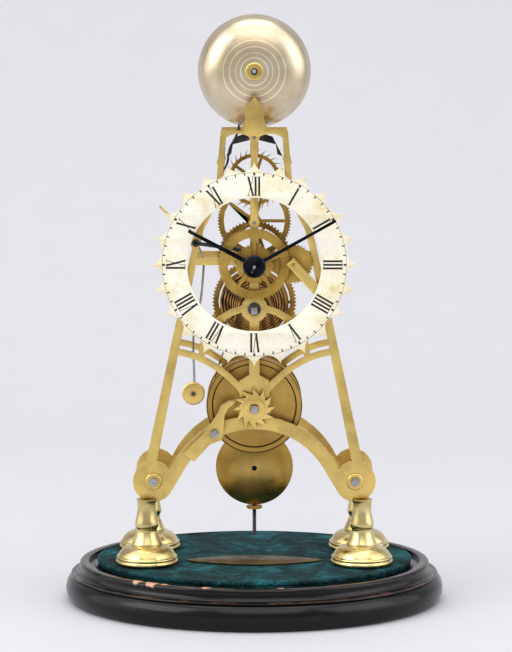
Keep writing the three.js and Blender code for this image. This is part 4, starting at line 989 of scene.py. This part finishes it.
class CLOCK_OT_spacers(ClockOperator, bpy.types.Operator):
    """Turns the spacers between the plates and sets their washers and screws"""

    bl_idname = "clock.spacers"
    bl_label = "Spacers and screws"

    def build(self, sizes):
        for side, slot_turn in (("left", 0.2), ("right", 2.1)):
            self.build_spacer(f"plate_spacer_{side}")
            self.build_washer(f"spacer_washer_{side}")
            for end, out in (("front", -1), ("back", 1)):
                build_screw(f"spacer_screw_{end}_{side}", out, 14, slot_turn + 0.7 * out)
            self.build_pillar(f"top_pillar_{side}")

    def build_spacer(self, node):
        _, collar, front, back = lathe_size(node)
        waist = 3.6
        end = [
            (0, 0), (collar - 0.2, 0), (collar, 0.3), (collar, 3.5), (collar - 0.3, 4.3), (waist + 0.6, 5.7),
            (waist + 0.1, 7.9), (waist, 10.7),
        ]
        turn_node(node, "plate", 48, both_ends(end, front, back))

    def build_washer(self, node):
        _, rim, front, back = lathe_size(node)
        bore = 1.8
        washer = [
            (bore, back), (rim - 0.1, back), (rim, back - 0.2), (rim - 0.05, back - 0.8), (rim - 0.4, front),
            (bore, front), (bore, back),
        ]
        turn_node(node, "plate", 48, washer)

    def build_pillar(self, node):
        _, radius, front, back = lathe_size(node)
        turn_node(node, "plate", 32, both_ends([(0, 0), (radius, 0)], front, back))


# Each letter's width, and its strokes: where head and foot are across the letter, and if the stroke is thick
LETTERS = {
    "I": (2.5, [(0, 0, True)]),
    "V": (4.3, [(-1.7, 0.0, True), (1.7, 0.0, False)]),
    "X": (4.3, [(-1.7, 1.7, True), (1.7, -1.7, False)]),
}
HOURS = ["XII", "I", "II", "III", "IIII", "V", "VI", "VII", "VIII", "IX", "X", "XI"]
HAIRLINE = 0.42
SERIF_HALF_LENGTH = 1.15
SERIF_HALF_WIDTH = 0.16


class CLOCK_OT_dial(ClockOperator, bpy.types.Operator):
    """Builds the star-edged chapter ring, its numerals, marks and posts"""

    bl_idname = "clock.dial"
    bl_label = "Chapter ring"

    def build(self, sizes):
        low, high = box_of("dial_chapter_ring")
        self.face, self.centre_z = low.y, (low.z + high.z) / 2
        self.wax_front, self.wax_back = self.face - 0.05, self.face + 0.02
        hole = circle(0, self.centre_z, 46.6, 160)
        outline = self.star_outline(high.x, 64.4, 24)
        ring = sawn("dial_finished", [outline, hole], low.y, high.y - low.y, 0.16, "dial")
        stand_for(ring, "dial_chapter_ring")
        self.build_numerals(sizes)
        self.build_marks(sizes)
        for name in ("top", "left", "right"):
            self.build_post(f"dial_post_{name}")

    def star_outline(self, tip, valley, tips):
        """Hollow arcs between points at the tip's radius, each arc's floor at the valley's."""
        step, arc_steps = TURN / tips, 12
        half, chord = tip * math.sin(step / 2), tip * math.cos(step / 2)
        sag = chord - valley
        radius = (half**2 + sag**2) / (2 * sag)
        span = math.asin(half / radius)
        outline = []
        for i in range(tips):
            a = math.pi / 2 + step * (i + 0.5)
            x, z = (valley + radius) * math.cos(a), (valley + radius) * math.sin(a)
            for k in range(arc_steps):
                t = a + math.pi + span - 2 * span * k / arc_steps
                outline.append((x + radius * math.cos(t), self.centre_z + z + radius * math.sin(t)))
        return outline

    def add_stroke(self, shape, angle, corners):
        """Adds a stroke of wax: corners are pairs across and along the hour's own line."""
        spots = []
        for across, along in corners:
            x = along * math.sin(angle) + across * math.cos(angle)
            spots.append((x, self.centre_z + along * math.cos(angle) - across * math.sin(angle)))
        near = [(x, self.wax_front, z) for x, z in spots]
        far = [(x, self.wax_back, z) for x, z in spots]
        add_prism(shape, near, far)

    def build_numerals(self, sizes):
        foot, head, thick_stroke = sizes.numeral_foot / MM, sizes.numeral_head / MM, sizes.numeral_stroke / MM

        def build(shape):
            for hour, word in enumerate(HOURS):
                angle = TURN * hour / len(HOURS)
                at = -sum(LETTERS[letter][0] for letter in word) / 2
                for letter in word:
                    advance, strokes = LETTERS[letter]
                    mid = at + advance / 2
                    for top, bottom, thick in strokes:
                        t = (thick_stroke if thick else HAIRLINE) / 2
                        corners = [
                            (mid + bottom - t, foot), (mid + bottom + t, foot), (mid + top + t, head),
                            (mid + top - t, head),
                        ]
                        self.add_stroke(shape, angle, corners)
                    for edge, ends in ((head, {s[0] for s in strokes}), (foot, {s[1] for s in strokes})):
                        for end in ends:
                            serif = block(mid + end, edge, SERIF_HALF_LENGTH, SERIF_HALF_WIDTH)
                            self.add_stroke(shape, angle, serif)
                    at += advance

        words = link("dial_numerals", closed_mesh("dial_numerals", build), "wax")
        lie_on(words, "dial_chapter_ring")

    def build_marks(self, sizes):
        """Marks for the minutes and, wider, for the hours, and the circle that bounds them."""
        tree = radial_tree()
        centre = (0, self.face - 0.02, self.centre_z)
        reach = (sizes.tick_inner + sizes.tick_outer) / 2 / MM
        every = sizes.ticks // len(HOURS)
        hours = [i for i in range(sizes.ticks) if i % every == 0]
        minutes = [i for i in range(sizes.ticks) if i % every]
        for label, places, width in (
            ("dial_minute_marks", minutes, sizes.tick_width), ("dial_hour_marks", hours, sizes.hour_width)
        ):
            spots = []
            for i in places:
                a = TURN * i / sizes.ticks
                spots.append((reach * math.sin(a), centre[1], self.centre_z + reach * math.cos(a)))
            ticks = grown(
                label, path_mesh("tick_spots", spots), tree,
                {
                    "Length": sizes.tick_outer - sizes.tick_inner, "Width": width, "Depth": 0.06 * MM,
                    "Centre": [c * MM for c in centre], "Finish": FINISHES["wax"],
                },
            )
            lie_on(ticks, "dial_chapter_ring")
        inside, outside = sizes.tick_outer / MM - 0.1, sizes.tick_outer / MM + 0.1
        band = [
            (inside, self.wax_front), (outside, self.wax_front), (outside, self.wax_back),
            (inside, self.wax_back), (inside, self.wax_front),
        ]
        line = turned("dial_minute_circle", band, "wax", 180, (0, 0, self.centre_z))
        lie_on(line, "dial_chapter_ring")

    def build_post(self, node):
        _, collar, front, back = lathe_size(node)
        end = [(0, 0), (collar, 0), (collar, 1), (collar - 0.4, 1.6)]
        turn_node(node, "plate", 32, both_ends(end, front, back))


class CLOCK_OT_hands(ClockOperator, bpy.types.Operator):
    """Finishes the blued hands and turns their collar"""

    bl_idname = "clock.hands"
    bl_label = "Hands"

    def build(self, sizes):
        dressed("hour_hand", "blued", sizes.edge)
        dressed("minute_hand", "blued", sizes.edge)
        centre, rim, front, back = lathe_size("hand_collar")
        bore, (x, _, z) = 1.35, centre
        profile = [
            (bore, back), (rim - 0.3, back), (rim, back - 0.3), (rim, back - 0.9), (rim - 0.5, front + 0.5),
            (6.6, front + 0.1), (6.1, front + 0.1), (5.8, front + 0.6), (4.4, front + 0.7),
            (4.1, front + 0.2), (3.4, front), (2.6, front), (2.3, front + 0.3), (bore, front + 0.3),
            (bore, back),
        ]
        dome = turned("collar_dome", profile, "blued", 56, centre)
        # The taper pin that keeps the collar on, lying from the arbor's end to the groove
        lean, pin_y = math.radians(-112), front + 0.45
        ends = [(x + reach * math.cos(lean), pin_y, z + reach * math.sin(lean)) for reach in (1.5, 4.6)]
        pin = drawn_wire("collar_pin", ends, 0.42, "steel")
        stand_for(joined("hand_collar_finished", [dome, pin]), "hand_collar")


class CLOCK_OT_train(ClockOperator, bpy.types.Operator):
    """Finishes the wheels, pinions and arbors of the train and the motion work"""

    bl_idname = "clock.train"
    bl_label = "Train and motion work"

    def build(self, sizes):
        for name in ("centre", "third", "escape", "great", "cannon", "hour", "minute"):
            dressed(name + "_wheel", "wheel", sizes.tooth_edge)
        dressed("minute_cock", "bright", sizes.edge)
        for node in ("centre_arbor", "third_arbor", "escape_arbor", "minute_cock_screw"):
            dressed(node, "steel", sizes.tooth_edge)


def fusee_radius(share):
    """Radius of the fusee's surface at a share of its length from the small end."""
    return FUSEE_SMALL + (FUSEE_LARGE - FUSEE_SMALL) * share * (1 - FUSEE_FLARE + FUSEE_FLARE * share)


class CLOCK_OT_fusee(ClockOperator, bpy.types.Operator):
    """Turns the grooved fusee and winds its line on to it and the barrel"""

    bl_idname = "clock.fusee"
    bl_label = "Fusee and line"

    def build(self, sizes):
        self.front, self.back, self.turns = -13.0, 14.0, 8
        self.start = self.front + LINE_MARGIN
        self.run = self.back - self.front - 2 * LINE_MARGIN
        self.axis_z = axle("fusee_turn").z
        self.build_fusee()
        self.build_line(sizes.gut)

    def build_fusee(self):
        low, high = box_of("fusee")
        pitch, steps, arbor, depth = self.run / self.turns, 240, 3.6, 0.3
        surface = []
        for i in range(steps + 1):
            y = self.front + (self.back - self.front) * i / steps
            wave = 0.5 - 0.5 * math.cos(TURN * (y - self.start) / pitch + math.pi)
            groove = depth * wave if self.start < y < self.start + self.run else 0
            surface.append((fusee_radius(i / steps) - groove, y))
        pivot = FRONT_OUTER - 0.3
        profile = [
            (0, pivot), (arbor, pivot), (arbor, self.front), *surface, (arbor, self.back), (arbor, high.y),
            (0, high.y),
        ]
        centre = (0, 0, self.axis_z)
        body = turned("fusee_body", profile, "tarnished", 96, centre)
        outline = circle(0, self.axis_z, 3.1, 4, math.pi / 4)
        square = sawn("fusee_square", [outline], low.y, FRONT_OUTER - low.y, 0.35, "steel")
        # Painted shade: a dark steel disc behind the winding square stands for the shadow in the gap round the
        # arbor
        ring = [
            (0, FRONT_OUTER - 1), (4.2, FRONT_OUTER - 1), (4.45, FRONT_OUTER - 0.8),
            (4.45, FRONT_OUTER - 0.35), (0, FRONT_OUTER - 0.35),
        ]
        shoulder = turned("fusee_painted_shade_ring", ring, "dark_steel", 48, centre)
        stand_for(joined("fusee_finished", [body, square, shoulder]), "fusee")

    def build_line(self, radius):
        """Lays the line round the fusee from its large end to its small one, and down on to the barrel."""
        gut, steps, sunk, barrel_pitch, barrel_turns = radius / MM, 40, 0.1, 3, 1.25
        barrel_z, at_barrel, at_fusee = axle("barrel_turn").z, BARREL_DRUM + gut, FUSEE_SMALL + gut
        leave = math.pi - math.asin((at_barrel - at_fusee) / (self.axis_z - barrel_z))
        route = []
        for i in range(self.turns * steps, -1, -1):
            share = i / (self.turns * steps)
            a = leave - self.turns * TURN * share
            y = self.start + self.run * share
            r = fusee_radius((y - self.front) / (self.back - self.front)) + gut - sunk
            route.append((r * math.cos(a), y, self.axis_z + r * math.sin(a)))
        for i in range(int(barrel_turns * steps) + 1):
            a = leave + TURN * i / steps
            y = self.start + barrel_pitch * i / steps
            route.append((at_barrel * math.cos(a), y, barrel_z + at_barrel * math.sin(a)))
        line = grown(
            "fusee_line_finished", path_mesh("line_path", route), swept_tree(),
            {"Radius": radius, "Sides": 8, "Finish": FINISHES["gut"]},
        )
        line.data.shade_smooth()
        stand_for(line, "fusee_line")


class CLOCK_OT_barrel(ClockOperator, bpy.types.Operator):
    """Turns the mainspring barrel and finishes its set-up work"""

    bl_idname = "clock.barrel"
    bl_label = "Barrel, ratchet and click"

    def build(self, sizes):
        _, rim, front, back = lathe_size("barrel_drum")
        bore, inside, wall = 3.25, 29.8, 2.2
        flange = [(rim - 0.3, 0), (rim, 0.3), (rim, 1.6), (rim - 0.3, 2), (BARREL_DRUM, wall)]
        outer = both_ends(flange, front, back)[::-1]
        floor = back - wall
        drum = [(bore, back), *outer, (inside, front), (inside, floor), (bore, floor), (bore, back)]
        turn_node("barrel_drum", "barrel", 120, drum)
        _, _, front, back = lathe_size("barrel_cap")
        edge = inside - 0.3
        cap = [
            (bore, front), (edge - 0.3, front), (edge, front + 0.3), (edge, back), (bore, back), (bore, front),
        ]
        turn_node("barrel_cap", "barrel", 120, cap)
        _, coil, front, back = lathe_size("mainspring")
        heart = 3.5
        spring = [(heart, front), (coil, front), (coil, back), (heart, back), (heart, front)]
        turn_node("mainspring", "blued", 64, spring)
        dressed("barrel_arbor", "steel", sizes.edge)
        dressed("setup_ratchet", "bright", sizes.edge)
        dressed("click", "plate", sizes.edge)
        build_screw("click_screw", -1, 6.1, 0.9)


class CLOCK_OT_escapement(ClockOperator, bpy.types.Operator):
    """Finishes the anchor, its arbor and the crutch"""

    bl_idname = "clock.escapement"
    bl_label = "Anchor and crutch"

    def build(self, sizes):
        dressed("pallet_anchor", "dark_steel", sizes.tooth_edge)
        for node in ("pallet_arbor", "crutch"):
            dressed(node, "steel", sizes.tooth_edge)


# The bell's outer curve: shares of its radius and of its depth
BELL_SHARES = [
    (0.15, 0.003), (0.3, 0.013), (0.44, 0.04), (0.56, 0.08), (0.67, 0.14), (0.76, 0.215), (0.83, 0.31),
    (0.89, 0.43), (0.93, 0.57), (0.958, 0.72), (0.982, 0.87), (0.997, 0.96), (1.0, 1.0),
]


class CLOCK_OT_bell(ClockOperator, bpy.types.Operator):
    """Turns the bell, its washer and its post"""

    bl_idname = "clock.bell"
    bl_label = "Bell"

    def build(self, sizes):
        bore, wall = 2.05, 1.7
        _, radius, crown, mouth = lathe_size("bell")
        outer = [(r * radius, crown + y * (mouth - crown)) for r, y in BELL_SHARES]
        inner = [(r - wall, y + wall) for r, y in outer[:-2]]
        profile = [
            (bore, crown), *outer, (radius - wall, mouth), *inner[::-1], (bore, crown + wall), (bore, crown),
        ]
        turn_node("bell", "bell", 144, profile, 50)
        _, rim, face, back = lathe_size("bell_washer")
        washer = [
            (bore, back), (rim - 0.2, back), (rim, back - 0.2), (rim - 0.1, back - 0.9), (rim - 0.6, face),
            (rim - 2, face), (rim - 2.2, face + 0.2), (rim - 2.5, face + 0.2), (rim - 2.7, face),
            (bore, face), (bore, back),
        ]
        turn_node("bell_washer", "plate", 56, washer)
        centre, shoulder, tip, back = lathe_size("bell_post")
        thick, thin = shoulder - 0.3, 1.8
        post = [
            (0, face), (thin, face), (thin, crown + 2), (shoulder, crown + 2), (shoulder, crown + 4),
            (thick, crown + 5), (thick, BACK_INNER - 4), (shoulder, BACK_INNER - 2.6),
            (shoulder, BACK_INNER - 0.3), (thin, BACK_INNER - 0.3), (thin, back - 0.3), (thin - 0.3, back),
            (0, back),
        ]
        nut = [
            (1.3, face - 2.1), (2.2, face - 2.1), (2.4, face - 1.8), (2.4, face), (0, face), (0, face - 1.5),
            (1.3, face - 1.5),
        ]
        end = [(0, tip), (1, tip), (1.3, tip + 0.3), (1.3, face - 1.5), (0, face - 1.5)]
        pieces = [
            turned("bell_post_rod", post, "dark_steel", 40, centre),
            turned("bell_nut", nut, "dark_steel", 40, centre),
            turned("bell_stud", end, "steel", 32, centre),
        ]
        stand_for(joined("bell_post_finished", pieces), "bell_post")


# Bends of the hammer's wires: shares of the bow sideways and of the rise from the arbor
LOWER_WIRE_SHARES = [(0, 0), (1, 0.12), (0.88, 0.27), (0.52, 0.41), (-0.4, 0.62), (-0.32, 0.91), (-0.44, 1)]
UPPER_WIRE_SHARES = [
    (0, 0), (0.15, 0.12), (0.45, 0.28), (0.56, 0.39), (0.72, 0.47), (0.78, 0.56), (0.95, 0.65), (1, 0.72),
    (0.93, 0.82), (0.6, 0.94),
]
ARM_SHARES = [(0, 0), (0.55, 0.565), (1, 1)]


class CLOCK_OT_hammer(ClockOperator, bpy.types.Operator):
    """Bends the hammer's wires and turns its head and counterweight"""

    bl_idname = "clock.hammer"
    bl_label = "Hammer"

    def build(self, sizes):
        low, high = box_of("hammer")
        self.axis, self.front = axle("hammer_draw"), low.y
        head_radius, weight = 3.2, middle("hammer_counterweight")
        head = Vector((-31.4, 8, high.z - head_radius))
        arm_y, upper_y, wire = -20, 17, 0.85
        lower = self.route(LOWER_WIRE_SHARES, weight.y, 5, weight.z - self.axis.z)
        upper = self.route(UPPER_WIRE_SHARES, upper_y, 30, head.z - self.axis.z) + [tuple(head)]
        arm = self.route(ARM_SHARES, arm_y, -25.5, 25.2)
        pivot, front_end, back_end = 1, FRONT_INNER + 0.5, BACK_INNER - 0.5
        arbor = [
            (0, low.y), (pivot, low.y), (pivot, front_end), (1.5, front_end + 0.2), (1.5, back_end - 0.2),
            (pivot, back_end), (pivot, high.y), (0, high.y),
        ]
        face = both_ends([(0, 0), (head_radius - 0.5, 0), (head_radius, 0.5)], head.x - 3, head.x + 3)
        pieces = [
            self.on_arbor("hammer_arbor", arbor, "steel"),
            drawn_wire("hammer_lower_wire", smooth_path(lower), wire, "steel"),
            drawn_wire("hammer_upper_wire", smooth_path(upper), wire, "dark_steel"),
            drawn_wire("hammer_arm", smooth_path(arm), wire, "plate"),
            turned("hammer_head", face, "steel", 36, (0, head.y, head.z), "X"),
            *self.build_tail(),
        ]
        for y in (arm_y, weight.y, upper_y):
            sleeve = both_ends([(0, 0), (2.4, 0), (2.6, 0.4)], y - 1.8, y + 1.8)
            pieces.append(self.on_arbor("hammer_collar", sleeve, "plate"))
        stand_for(joined("hammer_finished", pieces), "hammer")
        self.build_counterweight()

    def route(self, shares, y, bow, rise):
        return [(self.axis.x + across * bow, y, self.axis.z + along * rise) for across, along in shares]

    def on_arbor(self, name, profile, finish):
        return turned(name, profile, finish, 32, (self.axis.x, 0, self.axis.z))

    def build_tail(self):
        """The flat arm that the motion work lifts, and its boss."""
        start, end = Vector((self.axis.x, self.axis.z)), Vector((15.4, 250.2))
        half_width, thickness = 1.3, 1.2
        direction = (end - start).normalized()
        side = Vector((-direction.y, direction.x)) * half_width
        bar = [tuple(start + side), tuple(start - side), tuple(end - side), tuple(end + side)]
        boss = both_ends([(0, 0), (2 * half_width, 0)], self.front, self.front + thickness)
        return [
            sawn("hammer_tail", [bar], self.front, thickness, 0.12, "dark_steel"),
            self.on_arbor("hammer_tail_boss", boss, "dark_steel"),
        ]

    def build_counterweight(self):
        centre, rim, front, back = lathe_size("hammer_counterweight")
        profile = [
            (0, front + 0.2), (1.6, front + 0.2), (1.9, front + 0.5), (2.3, front + 0.5), (2.5, front),
            (rim - 2.6, front), (rim - 0.6, front + 0.4), (rim, front + 1), (rim, back - 1),
            (rim - 0.4, back - 0.2), (rim - 1, back), (0, back),
        ]
        disc = turned("counterweight_disc", profile, "plate", 64, centre)
        grub = [
            (0, front - 0.05), (1.2, front - 0.05), (1.5, front + 0.2), (1.5, front + 0.6), (0, front + 0.6),
        ]
        screw = turned("counterweight_screw", grub, "dark_steel", 24, centre)
        stand_for(joined("hammer_counterweight_finished", [disc, screw]), "hammer_counterweight")


class CLOCK_OT_pendulum(ClockOperator, bpy.types.Operator):
    """Builds the pendulum, its cock and the knurled rating nut"""

    bl_idname = "clock.pendulum"
    bl_label = "Pendulum"

    def build(self, sizes):
        dressed("pendulum_cock", "plate", sizes.edge)
        self.hang_y = middle("pendulum_rod").y
        self.build_bob()
        self.build_rod()
        self.build_nut(sizes.knurls)

    def build_bob(self):
        low, high = box_of("pendulum_bob")
        centre, steps = middle("pendulum_bob"), 32
        rim, half = high.x, (high.y - low.y) / 2
        shell = rim - 0.4
        lens = []
        for i in range(steps + 1):
            r = shell * math.sin(math.pi / 2 * i / steps)
            lens.append((r, -half + (half - 0.9) * (r / shell) ** 2.1))
        edge = [(rim - 0.1, -0.7), (rim, 0), (rim - 0.1, 0.7)]
        shell_profile = lens + edge + [(r, -y) for r, y in reversed(lens)]
        head = [
            (0, -half - 0.2), (1.5, -half - 0.2), (1.9, -half), (1.9, 0.5 - half), (0, 0.5 - half),
        ]
        pieces = [
            turned("bob_shell", shell_profile, "bob", 120, centre),
            turned("bob_screw", head, "blued", 24, centre),
        ]
        for x in (-9, 9):
            mark = block(x, centre.z, 1.3, 0.35)
            pieces.append(sawn("bob_mark", [mark], centre.y - half + 0.5, 0.3, 0.05, "steel"))
        stand_for(joined("pendulum_bob_finished", pieces), "pendulum_bob")

    def build_rod(self):
        low, high = box_of("pendulum_rod")
        rod, root, pitch, turns, thread_bottom = 1.5, 1.25, 0.85, 24, low.z + 0.2
        thread = []
        for i in range(turns):
            z = thread_bottom + i * pitch
            thread += [(rod, z), (root, z + 0.42)]
        thread_top = low.z + 21
        block_bottom, block_top, block_half = high.z - 28, high.z - 19, high.x
        profile = [
            (0, low.z), (1.2, low.z), *thread, (rod, thread_top), (rod, block_bottom), (0, block_bottom),
        ]
        middle_z = (block_bottom + block_top) / 2
        outline = block(0, middle_z, block_half, (block_top - block_bottom) / 2)
        spring_bottom, spring_half, spring_width = block_top - 1, 0.3, 5
        strip = block(0, (spring_bottom + high.z) / 2, spring_half, (high.z - spring_bottom) / 2)
        pieces = [
            turned("pendulum_shaft", profile, "dark_steel", 24, (0, self.hang_y, 0), "Z", 50),
            sawn("pendulum_block", [outline], self.hang_y - block_half, 2 * block_half, 0.3, "plate"),
            sawn("pendulum_spring", [strip], self.hang_y - spring_width / 2, spring_width, 0.05, "blued"),
        ]
        stand_for(joined("pendulum_rod_finished", pieces), "pendulum_rod")

    def build_nut(self, knurls):
        low, high = box_of("rating_nut")
        bore, body, ridge_foot = 1.75, 5.4, 5.5
        end = [(bore, 0), (body - 0.4, 0), (body, 0.3)]
        core = both_ends(end, low.z, high.z) + [(bore, low.z)]
        nut = turned("nut_core", core, "plate", 64, (0, self.hang_y, 0), "Z")
        ridge = ((-0.3, -0.22), (0.35, 0), (-0.3, 0.22))

        def build(shape):
            for i in range(knurls):
                a = TURN * i / knurls
                spots = []
                for out, across in ridge:
                    r = ridge_foot + out
                    x, y = r * math.cos(a) - across * math.sin(a), r * math.sin(a) + across * math.cos(a)
                    spots.append((x, self.hang_y + y))
                near = [(x, y, low.z + 0.4) for x, y in spots]
                far = [(x, y, high.z - 0.4) for x, y in spots]
                add_prism(shape, near, far)

        knurl = link("nut_knurl", closed_mesh("nut_knurl", build), "plate")
        stand_for(joined("rating_nut_finished", [nut, knurl]), "rating_nut")


# The camera's place in millimetres, its dip in degrees and its lens, fitted to the photograph
CAMERA_PLACE = (1.19, -1839.3, 417)
CAMERA_DIP = 6.821
FOCAL_PIXELS = 2600
PICTURE_HEIGHT = 652
SENSOR = 36

# Square lamps: place and width in metres, power in watts
LAMPS = [
    ("key", (-1.7, -1.0, 1.4), 1.6, 22),
    ("fill", (1.8, -0.9, 1.2), 1.6, 12),
    ("front", (0.2, -2.5, 3.0), 2.6, 34),
    ("top", (0, 0.4, 2.3), 1.6, 12),
]


class CLOCK_OT_stage(ClockOperator, bpy.types.Operator):
    """Lays the studio paper and sets the lights and the camera"""

    bl_idname = "clock.stage"
    bl_label = "Stage"

    def build(self, sizes):
        self.lay_paper()
        self.hang_lamps()
        self.light_world()
        self.set_camera()

    def lay_paper(self):
        half_width, front, bend, radius, top, steps = 4200, -4000, 700, 900, 4200, 24
        angles = [math.pi / 2 * i / steps for i in range(steps + 1)]
        profile = [(front, 0), (bend, 0)]
        profile += [(bend + radius * math.sin(a), radius * (1 - math.cos(a))) for a in angles]
        profile.append((bend + radius, top))
        shape = bmesh.new()
        rows = [[corner(shape, (x, y, z)) for x in (-half_width, half_width)] for y, z in profile]
        for near, far in zip(rows, rows[1:]):
            shape.faces.new([near[0], near[1], far[1], far[0]])
        mesh = bpy.data.meshes.new("studio_sweep")
        shape.to_mesh(mesh)
        shape.free()
        mesh.shade_smooth()
        link("studio_sweep", mesh, "paper")

    def hang_lamps(self):
        aim = Vector((0, 0, 0.22))
        for name, spot, width, watts in LAMPS:
            light = bpy.data.lights.new(name, "AREA")
            light.size = width
            light.energy = watts
            lamp = bpy.data.objects.new(name, light)
            lamp.location = spot
            lamp.rotation_euler = (aim - Vector(spot)).to_track_quat("-Z", "Y").to_euler()
            bpy.context.scene.collection.objects.link(lamp)

    def light_world(self):
        """White all round, dimmer in front and behind than elsewhere, and even where the camera sees it."""
        world = bpy.context.scene.world or bpy.data.worlds.new("studio")
        bpy.context.scene.world = world
        world.use_nodes = True
        tree = world.node_tree
        towards = add_node(tree, "ShaderNodeTexCoord").outputs["Generated"]
        depth = add_node(tree, "ShaderNodeSeparateXYZ", {"Vector": towards}).outputs["Y"]
        ray = add_node(tree, "ShaderNodeLightPath").outputs
        sides = spread(tree, ray["Is Glossy Ray"], 0, 1, 1.3, 1.9)
        facing = number(tree, "ABSOLUTE", depth)
        level = spread(tree, facing, 0.3, 0.8, sides, 0.65, interpolation_type="SMOOTHSTEP")
        shown = add_node(tree, "ShaderNodeMix", {"Factor": ray["Is Camera Ray"], "A": level, "B": 0.85})
        inputs = {"Color": linear("#e8e8ea"), "Strength": shown.outputs["Result"]}
        fill(tree, tree.nodes["Background"], inputs)

    def set_camera(self):
        camera = bpy.data.cameras.new("camera")
        camera.sensor_width = SENSOR
        camera.lens = FOCAL_PIXELS / PICTURE_HEIGHT * SENSOR
        camera.clip_end = 30
        holder = bpy.data.objects.new("camera", camera)
        holder.location = [c * MM for c in CAMERA_PLACE]
        holder.rotation_euler = (math.radians(90 - CAMERA_DIP), 0, 0)
        bpy.context.scene.collection.objects.link(holder)
        bpy.context.scene.camera = holder
        bpy.context.scene.view_settings.view_transform = "Standard"


class CLOCK_PT_pieces(bpy.types.Panel):
    """Lists the clock's pieces in the sidebar"""

    bl_idname = "CLOCK_PT_pieces"
    bl_label = "Skeleton Clock"
    bl_space_type = "VIEW_3D"
    bl_region_type = "UI"
    bl_category = "Skeleton Clock"

    def draw(self, context):
        for operator in OPERATORS:
            self.layout.operator(operator.bl_idname)
        for settings in (context.scene.clock_sizes, context.scene.clock_colours):
            for name in settings.__annotations__:
                self.layout.prop(settings, name)


OPERATORS = (
    CLOCK_OT_base, CLOCK_OT_velvet, CLOCK_OT_plaque, CLOCK_OT_feet, CLOCK_OT_plates, CLOCK_OT_spacers,
    CLOCK_OT_dial, CLOCK_OT_hands, CLOCK_OT_train, CLOCK_OT_fusee, CLOCK_OT_barrel, CLOCK_OT_escapement,
    CLOCK_OT_bell, CLOCK_OT_hammer, CLOCK_OT_pendulum, CLOCK_OT_stage,
)
CLASSES = (ClockSizes, ClockColours, *OPERATORS, CLOCK_PT_pieces)


def register():
    for item in CLASSES:
        bpy.utils.register_class(item)
    bpy.types.Scene.clock_sizes = PointerProperty(type=ClockSizes)
    bpy.types.Scene.clock_colours = PointerProperty(type=ClockColours)


def unregister():
    del bpy.types.Scene.clock_colours
    del bpy.types.Scene.clock_sizes
    for item in reversed(CLASSES):
        bpy.utils.unregister_class(item)


def main():
    register()
    FINISHES.update(make_finishes(bpy.context.scene.clock_colours))
    for operator in OPERATORS:
        group, name = operator.bl_idname.split(".")
        getattr(getattr(bpy.ops, group), name)()


if __name__ == "__main__":
    main()
